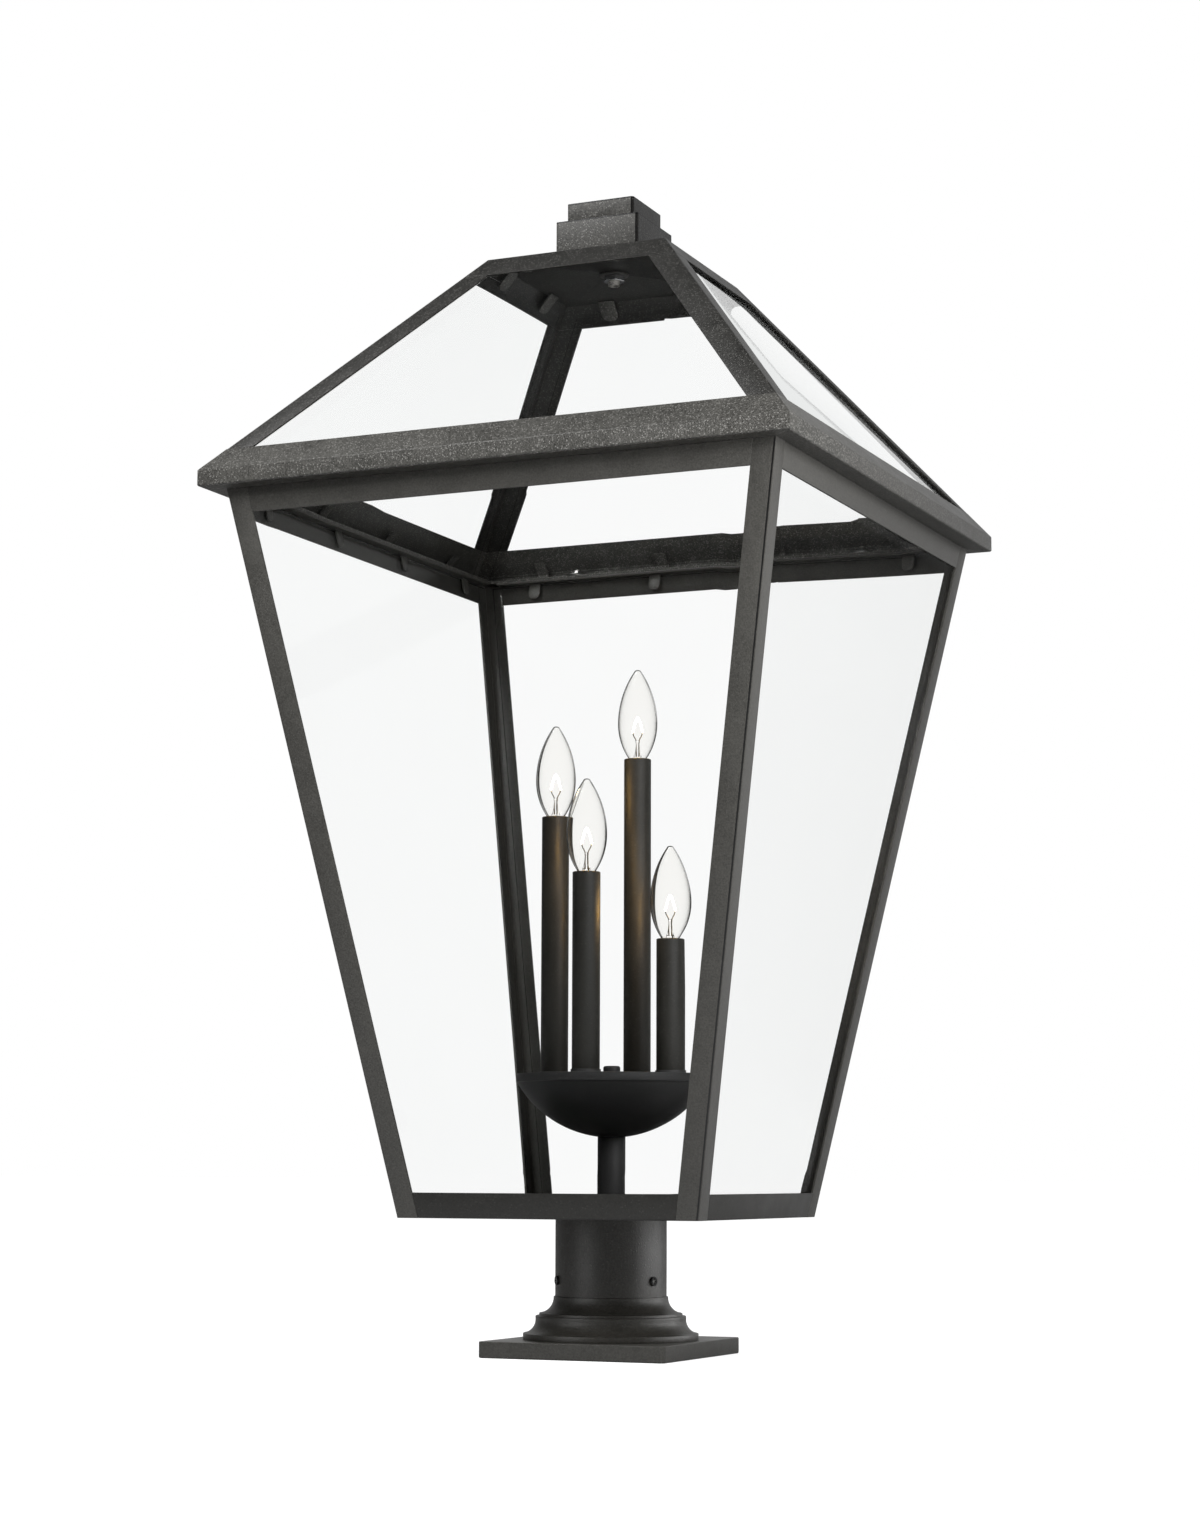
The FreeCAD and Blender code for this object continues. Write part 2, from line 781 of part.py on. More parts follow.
# Tongues that hang from the crown plate and hold the tops of the roof panes
def makeCrownTabs():
    body = newBody("crown_tabs")
    sink = "roof_pane_inner + seat_gap"
    head = f"(roof_height - wall + ({sink}) * roof_cos) / roof_sin"
    loops = []
    for place in ("-crown_tab_place", "crown_tab_place"):
        loops.append(tongue(place, "crown_tab_width", head, "crown_tab_reach"))
    tabs = pad(body, newSketch(body, "XY_Plane", loops, offset=roofFace(sink)), "tab_thick", backward=True)
    around(body, [tabs], 4)
    return body


# Bent strips that stand on the eave flange and hold the feet of the roof panes
def makeEaveTabs():
    body = newBody("eave_tabs")
    near = "(roof_pane_inner + seat_gap) / roof_sin"
    far = "(roof_pane_inner + seat_gap + tab_thick) / roof_sin"
    foot = "eave_foot + wall"
    bend = "eave_top - eave_tab_drop"
    tip = f"{bend} + roof_tab_reach * roof_sin"
    drop = "tab_thick * roof_cos"
    outline = [
        (f"{near} - ({roofHalf(bend)})", foot),
        (f"{near} - ({roofHalf(bend)}) + tab_thick", foot),
        (f"{near} - ({roofHalf(bend)}) + tab_thick", f"{bend} - (({far} - {near}) - tab_thick) / roof_lean"),
        (f"{far} - ({roofHalf(tip)}) + {drop} * roof_lean", f"{tip} - {drop}"),
        (f"{near} - ({roofHalf(tip)})", tip),
        (f"{near} - ({roofHalf(bend)})", bend),
    ]
    tabs = []
    for place in ("-tab_outer_place", "-tab_inner_place", "tab_inner_place", "tab_outer_place"):
        tabs.append(pad(body, newSketch(body, "YZ_Plane", [outline], level=place), "tab_width", middle=True))
    around(body, tabs, 4)
    return body


# Eave rails: fascia, flange that rests on the body, and the lower strip of the roof face
def makeEaveRail(side):
    body = newBody(f"eave_rail_{side[0]}", turn=side[1])
    inner = "eave_top - (roof_flat_wall - wall) / roof_lean"
    outline = [
        ("edge_round - eave_half", "eave_foot", "edge_round", "+"),
        ("eave_flange - eave_half", "eave_foot"),
        ("eave_flange - eave_half", "eave_foot + wall"),
        ("wall - eave_half", "eave_foot + wall"),
        ("wall - eave_half", inner),
        ("roof_flat_wall - hip_foot_half", "hip_foot"),
        ("-hip_foot_half", "hip_foot"),
        ("eave_setback * roof_cos - eave_half", "eave_top + eave_setback * roof_sin"),
        ("-eave_half", "eave_top - eave_setback", "edge_round", "+"),
        ("-eave_half", "eave_foot + edge_round"),
    ]
    pad(body, newSketch(body, "YZ_Plane", [outline]), "2 * eave_half", middle=True)
    far = "eave_half + overrun"
    right = [("0", "0"), (far, f"-({far})"), (far, "0")]
    left = [("0", "0"), (f"-({far})", "0"), (f"-({far})", f"-({far})")]
    for mitre in (right, left):
        pocket(body, newSketch(body, "XY_Plane", [mitre]), "2 * (roof_top + overrun)", middle=True)
    if side[2]:
        y = "stud_inset - body_top_half"
        holes = [(f"{sign}stud_place", y, "stud_radius + stud_clearance") for sign in ("-", "")]
        pocket(body, newSketch(body, "XY_Plane", [], holes, level="eave_foot + wall"), "wall")
    nodes.append(body)


def makeRoofHip(side):
    body = newBody(f"roof_hip_{side[0]}", turn=side[1])
    sections = []
    for half, level in (("hip_foot_half", "hip_foot"), ("crown_foot_half", "crown_foot")):
        angle = cornerAngle(half, "hip_flat_width", "roof_flat_wall")
        sections.append(newSketch(body, "XY_Plane", [angle], level=level))
    loft(body, sections)
    nodes.append(body)


# Crown: the flat top of the roof with sloping skirts
def makeRoofCrown():
    body = newBody("roof_crown")
    foot = newSketch(body, "XY_Plane", [roundedSquare("crown_foot_half", "edge_round")], level="crown_foot")
    head = newSketch(body, "XY_Plane", [roundedSquare("crown_half", "edge_round")], level="roof_top")
    loft(body, [foot, head])
    wideSquare = square("crown_foot_half - roof_flat_wall + overrun * roof_lean")
    innerFoot = newSketch(body, "XY_Plane", [wideSquare], level="crown_foot - overrun")
    smallSquare = square("crown_half - roof_flat_wall + wall * roof_lean")
    innerHead = newSketch(body, "XY_Plane", [smallSquare], level="crown_ceiling")
    loft(body, [innerFoot, innerHead], cutting=True)
    hole = newSketch(body, "XY_Plane", [], [("0", "0", "tube_radius + tube_clearance")], level="roof_top")
    pocket(body, hole, "wall")
    nodes.append(body)


# Studs on the body's top rails, and the flanged nuts that hold the roof down
studPlaces = [(x, y) for y in ("-", "") for x in ("-", "")]


def studPoint(signs):
    return f"{signs[0]}stud_place", f"{signs[1]}(body_top_half - stud_inset)"


def makeRoofStuds():
    studs = []
    for index, signs in enumerate(studPlaces):
        x, y = studPoint(signs)
        studs.append(cylinder(f"stud_{index + 1}", "stud_radius", "stud_length", "body_top", x, y))
    nodes.append(group("roof_studs", studs))


def makeRoofNuts():
    nuts = []
    level = "eave_foot + wall"
    for index, signs in enumerate(studPlaces):
        x, y = studPoint(signs)
        tag = f"nut_{index + 1}"
        disc = cylinder(tag + "_disc", "nut_disc_radius", "nut_disc_thick", level, x, y)
        hexed = hexagon(tag + "_hexagon", "nut_flats", "nut_disc_thick + nut_height", level, x, y)
        radius = "stud_radius + nut_clearance"
        length = "nut_disc_thick + nut_height + 2 * overrun"
        bore = cylinder(tag + "_bore", radius, length, f"{level} - overrun", x, y)
        nuts.append(cut(tag, fuse(tag + "_blank", [disc, hexed]), bore))
    nodes.append(group("roof_nuts", nuts))


# Cap blocks, open below
def makeCapBlock(name, half, foot, height):
    body = newBody(name)
    pad(body, newSketch(body, "XY_Plane", [roundedSquare(half, "cap_corner")], level=foot), height)
    hollow = newSketch(body, "XY_Plane", [square(f"{half} - cap_wall")], level=foot)
    pocket(body, hollow, f"{height} - cap_wall", backward=True)
    return body


def makeCapLower():
    body = makeCapBlock("cap_lower", "cap_lower_half", "cap_foot", "cap_lower_height")
    hole = newSketch(body, "XY_Plane", [], [("0", "0", "tube_radius + tube_clearance")], level="cap_step")
    pocket(body, hole, "cap_wall")
    nodes.append(body)


def makeCapUpper():
    body = makeCapBlock("cap_upper", "cap_upper_half", "cap_step", "cap_upper_height")
    circles = [("0", "0", "cap_boss_radius"), ("0", "0", "tube_radius + seat_gap")]
    boss = newSketch(body, "XY_Plane", [], circles, level="cap_top - cap_wall")
    pad(body, boss, "cap_upper_height - cap_wall", backward=True)
    nodes.append(body)


# Threaded tubes with a washer and nuts: one through the crown, one through the stem
def makeTube(name, foot, head):
    length = f"({head}) - ({foot})"
    outer = cylinder(name + "_rod", "tube_radius", length, foot)
    bore = cylinder(name + "_bore", "tube_bore", f"{length} + 2 * overrun", f"({foot}) - overrun")
    tube = cut(name, outer, bore)
    tube.Label = name
    nodes.append(tube)


def makeRing(name, blank, level, height):
    length = f"{height} + 2 * overrun"
    bore = cylinder(name + "_bore", "tube_radius + seat_gap", length, f"({level}) - overrun")
    ring = cut(name, blank, bore)
    ring.Label = name
    nodes.append(ring)


def makeTubeNut(name, level):
    blank = hexagon(name + "_blank", "tube_nut_flats", "tube_nut_height", level)
    makeRing(name, blank, level, "tube_nut_height")


def makeCapFixings():
    makeTube("cap_nipple", "nipple_foot", "nipple_top")
    level = "crown_ceiling - cap_washer_thick"
    disc = cylinder("cap_washer_disc", "cap_washer_radius", "cap_washer_thick", level)
    makeRing("cap_washer", disc, level, "cap_washer_thick")
    makeTubeNut("cap_nut", f"{level} - tube_nut_height")


def makeStemFixings():
    makeTube("stem_rod", "floor_foot - tube_nut_height - tube_end", "bowl_rim_top + knob_height - tube_end")
    makeTubeNut("stem_nut", "floor_foot - tube_nut_height")


# Floor of the body, on the flanges of the bottom rails and of the neck
def makeFloor():
    body = newBody("floor_plate")
    half = f"{bodyHalf('floor_foot')} - flat_wall - floor_clearance"
    hole = ("0", "0", "tube_radius + tube_clearance")
    pad(body, newSketch(body, "XY_Plane", [square(half)], [hole], level="floor_foot"), "floor_thick")
    nodes.append(body)


def makeStem():
    body = newBody("stem_tube")
    circles = [("0", "0", "stem_radius"), ("0", "0", "stem_radius - stem_wall")]
    pad(body, newSketch(body, "XY_Plane", [], circles, level="floor_top"), "stem_length")
    nodes.append(body)


# Bowl under the candles: a spun shell with a raised rim
def makeBowl():
    body = newBody("bowl")
    hole = "tube_radius + tube_clearance"
    lip = "bowl_radius - bowl_rim_step"
    outline = [
        (hole, "bowl_foot"),
        ("stem_radius", "bowl_foot"),
        (lip, "bowl_rim_foot", "bowl_curve", "+"),
        ("bowl_radius", "bowl_rim_foot"),
        ("bowl_radius", "bowl_rim_top"),
        ("bowl_radius - bowl_rim_step - bowl_wall", "bowl_rim_top"),
        ("bowl_radius - bowl_rim_step - bowl_wall", "bowl_rim_foot"),
        ("stem_radius", "bowl_foot + bowl_wall", "bowl_curve - bowl_wall", "-"),
        (hole, "bowl_foot + bowl_wall"),
    ]
    revolve(body, newSketch(body, "XZ_Plane", [outline]))
    nodes.append(body)


# Cover of the bowl with a raised ring for each sleeve
def makeCover():
    body = newBody("bowl_cover")
    radius = "bowl_radius - bowl_rim_step - bowl_wall - cover_clearance"
    holes = [("0", "0", "tube_radius + tube_clearance")]
    for x, y in fourPlaces("candle_circle"):
        holes.append((x, y, "holder_stem + holder_stem_clearance"))
    disc = newSketch(body, "XY_Plane", [], [("0", "0", radius), *holes], level="cover_foot")
    pad(body, disc, "cover_thick")
    cup = [("candle_circle", "0", "cup_radius"), ("candle_circle", "0", "sleeve_radius + cup_clearance")]
    ring = pad(body, newSketch(body, "XY_Plane", [], cup, level="bowl_rim_top"), "cup_height")
    around(body, [ring], 4)
    nodes.append(body)


def makeKnob():
    body = newBody("cluster_knob")
    bore = "tube_radius + seat_gap"
    rise = "bowl_rim_top + knob_height"
    outline = [
        (bore, "bowl_rim_top"),
        ("knob_radius", "bowl_rim_top"),
        ("knob_radius", f"{rise} - knob_wall"),
        ("knob_radius - knob_wall", rise, "knob_wall", "+"),
        ("0", rise),
        ("0", f"{rise} - knob_wall"),
        (bore, f"{rise} - knob_wall"),
    ]
    revolve(body, newSketch(body, "XZ_Plane", [outline]))
    nodes.append(body)


# Candles, clockwise from the right: each stands one step taller than the one before.
candleNames = ["right", "front", "left", "back"]
candles = list(zip(candleNames, fourPlaces("candle_circle"), range(len(candleNames))))


def sleeveTop(steps):
    return f"bowl_rim_top + short_sleeve + {steps} * sleeve_step"


def standAt(body, place):
    bind(body, "Placement", f"placement(vector({place[0]}; {place[1]}; 0); rotation(0; 0; 0))")


def makeSleeve(name, place, steps):
    body = newBody(f"candle_sleeve_{name}")
    top = sleeveTop(steps)
    outline = [
        ("sleeve_radius - sleeve_wall", "bowl_rim_top"),
        ("sleeve_radius", "bowl_rim_top"),
        ("sleeve_radius", f"{top} - sleeve_round"),
        ("sleeve_radius - sleeve_round", top, "sleeve_round", "+"),
        ("sleeve_radius - sleeve_wall", top),
    ]
    revolve(body, newSketch(body, "XZ_Plane", [outline]))
    standAt(body, place)
    nodes.append(body)


# A lamp holder stands on a thin stem that passes through the cover.
def makeHolder(name, place, steps):
    body = newBody(f"lamp_holder_{name}")
    top = f"{sleeveTop(steps)} - holder_drop"
    outline = [
        ("0", "cover_foot - holder_stem_end"),
        ("holder_stem", "cover_foot - holder_stem_end"),
        ("holder_stem", f"{top} - holder_length"),
        ("holder_radius", f"{top} - holder_length"),
        ("holder_radius", top),
        ("holder_bore", top),
        ("holder_bore", f"{top} - holder_length + holder_floor"),
        ("0", f"{top} - holder_length + holder_floor"),
    ]
    revolve(body, newSketch(body, "XZ_Plane", [outline]))
    standAt(body, place)
    return body


# The glass swells from a narrow neck to the belly, then narrows to a rounded tip.
def glassOutline(neck, belly, tip, foot, middle, head, rise):
    lower = f"(pow({belly} - ({neck}); 2) + pow({middle} - ({foot}); 2)) / 2 / ({belly} - ({neck}))"
    upper = f"(pow({belly} - ({tip}); 2) + pow({head} - ({middle}); 2)) / 2 / ({belly} - ({tip}))"
    crest = f"(pow({tip}; 2) + pow({rise}; 2)) / 2 / ({rise})"
    return [
        ("0", foot),
        (neck, foot),
        (belly, middle, lower, "+"),
        (tip, head, upper, "+"),
        ("0", f"{head} + {rise}", crest, "+"),
    ]


def makeBulb(name, place, steps):
    top = sleeveTop(steps)
    foot = f"{top} - bulb_base_rise"
    glass = newBody(f"bulb_{name}_glass")
    middle = f"{top} + bulb_belly"
    head = f"{top} + bulb_length - bulb_tip_rise"
    neck = "bulb_neck - bulb_collar"
    outer = glassOutline(neck, "bulb_radius", "bulb_tip", foot, middle, head, "bulb_tip_rise")
    revolve(glass, newSketch(glass, "XZ_Plane", [outer]))
    before = glass.Shape.Volume
    inner = glassOutline(
        f"{neck} - bulb_glass",
        "bulb_radius - bulb_glass",
        "bulb_tip",
        f"{foot} + bulb_glass",
        middle,
        f"{head} - bulb_glass",
        "bulb_tip_rise",
    )
    hollow = newFeature(glass, "Groove", newSketch(glass, "XZ_Plane", [inner]))
    hollow.ReferenceAxis = (hollow.Profile[0], ["V_Axis"])
    hollow.Angle = 360
    doc.recompute()
    if glass.Shape.Volume >= before:
        raise RuntimeError(glass.Name + ": the hollow cut nothing")
    standAt(glass, place)
    base = newBody(f"bulb_{name}_base")
    outline = [
        ("0", f"{foot} - bulb_base_length"),
        ("bulb_tip_contact", f"{foot} - bulb_base_length"),
        ("bulb_base_radius", f"{foot} - bulb_base_length + bulb_tip_contact"),
        ("bulb_base_radius", foot),
        ("0", foot),
    ]
    revolve(base, newSketch(base, "XZ_Plane", [outline]))
    standAt(base, place)
    nodes.append(group(f"bulb_{name}", [glass, base]))


# Sides in plan: name, turn about the vertical axis, and whether the eave rail has stud holes
sides = [("front", "0", True), ("right", "90", False), ("back", "180", True), ("left", "270", False)]

makePierPlate()
makeMoulding()
makeNeck()
for screw in range(screwCount):
    makeSetScrew(screw)
makeFloor()
for side in sides:
    makeCornerPost(side)
    makeBottomRail(side)
    makeTopRail(side)
    makeSidePane(side)
    makeEaveRail(side)
    makeRoofHip(side)
    makeRoofPane(side)
makeSidePaneTabs()
makeRoofStuds()
makeRoofCrown()
nodes.append(group("roof_pane_tabs", [makeCrownTabs(), makeEaveTabs()]))
makeRoofNuts()
makeCapLower()
makeCapUpper()
makeCapFixings()
makeStem()
makeStemFixings()
makeBowl()
makeCover()
makeKnob()
for candle in candles:
    makeSleeve(*candle)
    makeBulb(*candle)
nodes.append(group("lamp_holders", [makeHolder(*candle) for candle in candles]))

# Every object must have worked out, and every node must be a sound solid or group of solids.
doc.recompute()
failed = [item.Name for item in doc.Objects if "Invalid" in item.State or "Error" in item.State]
if failed:
    raise RuntimeError("failed objects: " + ", ".join(failed))
os.makedirs("parts", exist_ok=True)
for node in nodes:
    shape = node.Shape
    if shape.isNull() or not shape.isValid() or not shape.Solids:
        raise RuntimeError(node.Label + ": no sound solid")
for node in nodes:
    node.Shape.exportStep(f"parts/{node.Label}.step")
print(len(nodes), "nodes")
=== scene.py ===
import math

import bmesh
import bpy
from mathutils import Matrix, Vector


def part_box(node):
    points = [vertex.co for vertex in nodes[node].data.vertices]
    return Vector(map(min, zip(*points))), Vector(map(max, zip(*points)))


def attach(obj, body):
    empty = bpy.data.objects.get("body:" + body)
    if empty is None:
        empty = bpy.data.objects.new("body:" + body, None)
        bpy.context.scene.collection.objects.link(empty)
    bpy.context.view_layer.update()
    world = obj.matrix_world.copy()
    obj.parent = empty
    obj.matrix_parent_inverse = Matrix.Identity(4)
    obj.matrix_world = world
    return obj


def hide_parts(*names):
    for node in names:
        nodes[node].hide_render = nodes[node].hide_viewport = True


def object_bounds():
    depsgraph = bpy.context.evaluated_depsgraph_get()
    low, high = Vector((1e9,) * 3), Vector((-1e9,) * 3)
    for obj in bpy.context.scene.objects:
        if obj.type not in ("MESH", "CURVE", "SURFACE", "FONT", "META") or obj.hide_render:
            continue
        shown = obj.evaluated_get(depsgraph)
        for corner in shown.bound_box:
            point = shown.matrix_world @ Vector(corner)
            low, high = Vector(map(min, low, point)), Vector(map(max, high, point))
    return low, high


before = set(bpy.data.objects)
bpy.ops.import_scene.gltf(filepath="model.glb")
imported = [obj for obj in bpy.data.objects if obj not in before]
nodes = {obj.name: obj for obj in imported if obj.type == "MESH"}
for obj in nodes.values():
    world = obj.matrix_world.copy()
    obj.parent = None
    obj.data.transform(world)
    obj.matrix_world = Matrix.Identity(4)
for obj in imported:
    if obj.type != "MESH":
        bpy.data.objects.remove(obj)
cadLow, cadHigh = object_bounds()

sides = ["front", "right", "back", "left"]
candles = ["right", "front", "left", "back"]
print("frame loaded:", len(nodes), "nodes")


# Node tree helpers


def addNode(tree, kind, values=None, **settings):
    node = tree.nodes.new(kind)
    for name, setting in settings.items():
        setattr(node, name, setting)
    for name, value in (values or {}).items():
        node.inputs[name].default_value = value
    return node


def firstNode(tree, kind):
    return next(node for node in tree.nodes if node.type == kind)


def join(tree, source, output, target, socket):
    tree.links.new(source.outputs[output], target.inputs[socket])


# A socket takes another node's output or a plain value.
def feed(tree, socket, value):
    if isinstance(value, bpy.types.NodeSocket):
        tree.links.new(value, socket)
    else:
        socket.default_value = value


# A mix node's sockets by kind: the factor, the two inputs and the result
mixSockets = {"FLOAT": (0, 2, 3, 0), "RGBA": (0, 6, 7, 2)}


def mixNode(tree, kind, *values):
    node = addNode(tree, "ShaderNodeMix", data_type=kind)
    *inputs, result = mixSockets[kind]
    for socket, value in zip(inputs, values):
        feed(tree, node.inputs[socket], value)
    return node.outputs[result]


def mixColour(tree, factor, first, second):
    return mixNode(tree, "RGBA", factor, first, second)


def mixValue(tree, factor, first, second):
    return mixNode(tree, "FLOAT", factor, first, second)


def mathNode(tree, operation, *values, clamp=False):
    node = addNode(tree, "ShaderNodeMath", operation=operation, use_clamp=clamp)
    for socket, value in zip(node.inputs, values):
        feed(tree, socket, value)
    return node.outputs[0]


def remap(tree, value, low, high, newLow=0.0, newHigh=1.0):
    ends = {"From Min": low, "From Max": high, "To Min": newLow, "To Max": newHigh}
    node = addNode(tree, "ShaderNodeMapRange", ends, clamp=True)
    tree.links.new(value, node.inputs["Value"])
    return node.outputs["Result"]


# Turns a value between 0 and 1 into a swing about 0.
def swingAbout(tree, value, width):
    return mathNode(tree, "MULTIPLY_ADD", value, width, -width / 2)


def addNoise(tree, values, vector):
    noise = addNode(tree, "ShaderNodeTexNoise", values)
    tree.links.new(vector, noise.inputs["Vector"])
    return noise


def newGroup(name, inputs, outputs):
    group = bpy.data.node_groups.new(name, "ShaderNodeTree")
    for way, sockets in (("INPUT", inputs), ("OUTPUT", outputs)):
        for label, kind in sockets.items():
            group.interface.new_socket(label, in_out=way, socket_type=f"NodeSocket{kind}")
    return group, group.nodes.new("NodeGroupInput"), group.nodes.new("NodeGroupOutput")


def giveOut(group, result, **values):
    for label, value in values.items():
        group.links.new(value, result.inputs[label])


# Shared node groups

finishOutputs = {"Colour": "Color", "Roughness": "Float", "Height": "Float"}

powder = {
    "grain": {"Detail": 3.0, "Roughness": 0.65},
    "grainRange": (0.36, 0.64),
    "mottle": {"Scale": 38.0, "Detail": 4.0, "Roughness": 0.6},
    "mottleRange": (0.3, 0.7),
    "mottleShare": 0.3,
    "speckEdge": (0.25, 0.55),
    "speckHeight": 0.5,
    "roughSwing": 0.24,
}


# Powder coat: fine grain in the relief, slow mottling and a few bright specks
def makePowderGroup():
    inputs = {
        "Vector": "Vector",
        "Dark": "Color",
        "Light": "Color",
        "Speck": "Color",
        "Speck Share": "Float",
        "Grain Scale": "Float",
        "Roughness": "Float",
    }
    group, given, result = newGroup("powderCoat", inputs, finishOutputs)
    grain = addNoise(group, powder["grain"], given.outputs["Vector"])
    join(group, given, "Grain Scale", grain, "Scale")
    mottle = addNoise(group, powder["mottle"], given.outputs["Vector"])
    cells = addNode(group, "ShaderNodeTexVoronoi", feature="F1")
    join(group, given, "Vector", cells, "Vector")
    join(group, given, "Grain Scale", cells, "Scale")
    pick = addNode(group, "ShaderNodeSeparateColor")
    join(group, cells, "Color", pick, "Color")
    near = remap(group, cells.outputs["Distance"], *powder["speckEdge"], 1.0, 0.0)
    threshold = mathNode(group, "SUBTRACT", 1.0, given.outputs["Speck Share"])
    chosen = mathNode(group, "GREATER_THAN", pick.outputs["Red"], threshold)
    speck = mathNode(group, "MULTIPLY", near, chosen)
    slow = remap(group, mottle.outputs["Fac"], *powder["mottleRange"])
    fine = remap(group, grain.outputs["Fac"], *powder["grainRange"])
    share = mixValue(group, powder["mottleShare"], fine, slow)
    base = mixColour(group, share, given.outputs["Dark"], given.outputs["Light"])
    colour = mixColour(group, speck, base, given.outputs["Speck"])
    swing = swingAbout(group, mottle.outputs["Fac"], powder["roughSwing"])
    rough = mathNode(group, "ADD", given.outputs["Roughness"], swing, clamp=True)
    relief = mathNode(group, "MULTIPLY_ADD", speck, powder["speckHeight"], grain.outputs["Fac"])
    giveOut(group, result, Colour=colour, Roughness=rough, Height=relief)
    return group


metal = {
    "stretch": (200.0, 200.0, 4000.0),
    "lines": {"Scale": 1.0, "Detail": 3.0},
    "lineSwing": 0.16,
    "smudge": {"Scale": 120.0, "Detail": 4.0},
    "smudgeRange": (0.45, 0.75),
    "smudgeSwing": 0.2,
}


# Drawn or turned metal: fine lines across one direction, with smudges
def makeMetalGroup():
    inputs = {"Vector": "Vector", "Colour": "Color", "Tarnish": "Color", "Roughness": "Float"}
    group, given, result = newGroup("drawnMetal", inputs, finishOutputs)
    stretch = addNode(group, "ShaderNodeVectorMath", operation="MULTIPLY")
    stretch.inputs[1].default_value = metal["stretch"]
    join(group, given, "Vector", stretch, 0)
    lines = addNoise(group, metal["lines"], stretch.outputs[0])
    smudge = addNoise(group, metal["smudge"], given.outputs["Vector"])
    amount = remap(group, smudge.outputs["Fac"], *metal["smudgeRange"])
    colour = mixColour(group, amount, given.outputs["Colour"], given.outputs["Tarnish"])
    smudged = swingAbout(group, smudge.outputs["Fac"], metal["smudgeSwing"])
    lined = swingAbout(group, lines.outputs["Fac"], metal["lineSwing"])
    swing = mathNode(group, "ADD", smudged, lined)
    rough = mathNode(group, "ADD", given.outputs["Roughness"], swing, clamp=True)
    giveOut(group, result, Colour=colour, Roughness=rough, Height=lines.outputs["Fac"])
    return group


# Near-black colour and groove depth of the box lines, for real seams and for painted shade lines alike
seamAndShade = {"sideDepth": 0.0006, "colour": (0.002, 0.002, 0.002, 1), "depth": 3.0}


# Dark lines of a square box: a thin line at the right-hand end of each side, and one along the top rim. On
# the caps the side lines are seams of the folded sheet and the rim line is a painted shadow line; on the
# posts the side lines are painted shade along the corners.
# The half width of the box is at the height 0, and grows by lean.
def makeSeamShadeGroup():
    inputs = {"Vector": "Vector"}
    inputs.update({label: "Float" for label in ("Half Width", "Lean", "Inset", "Line", "Shade Line Height")})
    group, given, result = newGroup("seamAndShadeLines", inputs, {"Mask": "Float"})
    split = addNode(group, "ShaderNodeSeparateXYZ")
    join(group, given, "Vector", split, "Vector")
    x, y = split.outputs["X"], split.outputs["Y"]
    backX, backY = mathNode(group, "MULTIPLY", x, -1.0), mathNode(group, "MULTIPLY", y, -1.0)
    lean, footWidth = given.outputs["Lean"], given.outputs["Half Width"]
    halfWidth = mathNode(group, "MULTIPLY_ADD", split.outputs["Z"], lean, footWidth)
    place = mathNode(group, "SUBTRACT", halfWidth, given.outputs["Inset"])
    face = mathNode(group, "SUBTRACT", halfWidth, seamAndShade["sideDepth"])
    # Above the given height every point is in the line: a painted shadow line along the top rim
    mask = mathNode(group, "GREATER_THAN", split.outputs["Z"], given.outputs["Shade Line Height"])
    for along, across in ((x, backY), (y, x), (backX, y), (backY, backX)):
        line = mathNode(group, "COMPARE", along, place, given.outputs["Line"])
        onSide = mathNode(group, "GREATER_THAN", across, face)
        mask = mathNode(group, "MAXIMUM", mask, mathNode(group, "MULTIPLY", line, onSide))
    giveOut(group, result, Mask=mask)
    return group


screw = {
    "bright": 0.0011,
    "black": 0.0019,
    "wornColour": (0.3, 0.3, 0.29, 1),
    "relief": (0.2, 0.0001),
    "finish": {
        "Dark": (0.006, 0.006, 0.006, 1),
        "Light": (0.012, 0.012, 0.012, 1),
        "Speck Share": 0.0,
        "Grain Scale": 900.0,
        "Roughness": 0.35,
    },
}


# Wear that fades with the distance from a screw's axis, given as X
def makeWearGroup():
    group, given, result = newGroup("wornRecess", {"Vector": "Vector"}, {"Mask": "Float"})
    flatten = addNode(group, "ShaderNodeVectorMath", operation="MULTIPLY")
    flatten.inputs[1].default_value = (0, 1, 1)
    join(group, given, "Vector", flatten, 0)
    away = addNode(group, "ShaderNodeVectorMath", operation="LENGTH")
    join(group, flatten, "Vector", away, 0)
    worn = remap(group, away.outputs["Value"], screw["bright"], screw["black"], 1.0, 0.0)
    giveOut(group, result, Mask=worn)
    return group


glass = {
    "haze": {"Scale": 14.0, "Detail": 3.0},
    "hazeShade": 0.99,
    "rimFacing": (0.55, 0.97),
    "clear": (0.84, 0.84, 0.84, 1),
}


# Faint haze in the tint of glass
def makeHazeGroup():
    inputs = {"Vector": "Vector", "Tint": "Color", "Hazy Tint": "Color"}
    group, given, result = newGroup("faintHaze", inputs, {"Colour": "Color"})
    haze = addNoise(group, glass["haze"], given.outputs["Vector"])
    colour = mixColour(group, haze.outputs["Fac"], given.outputs["Tint"], given.outputs["Hazy Tint"])
    giveOut(group, result, Colour=colour)
    return group


powderGroup = makePowderGroup()
metalGroup = makeMetalGroup()
seamShadeGroup = makeSeamShadeGroup()
wearGroup = makeWearGroup()
hazeGroup = makeHazeGroup()
print("node groups made")


# Materials


def newMaterial(name):
    material = bpy.data.materials.new(name)
    material.use_nodes = True
    tree = material.node_tree
    return material, tree, tree.nodes["Principled BSDF"]


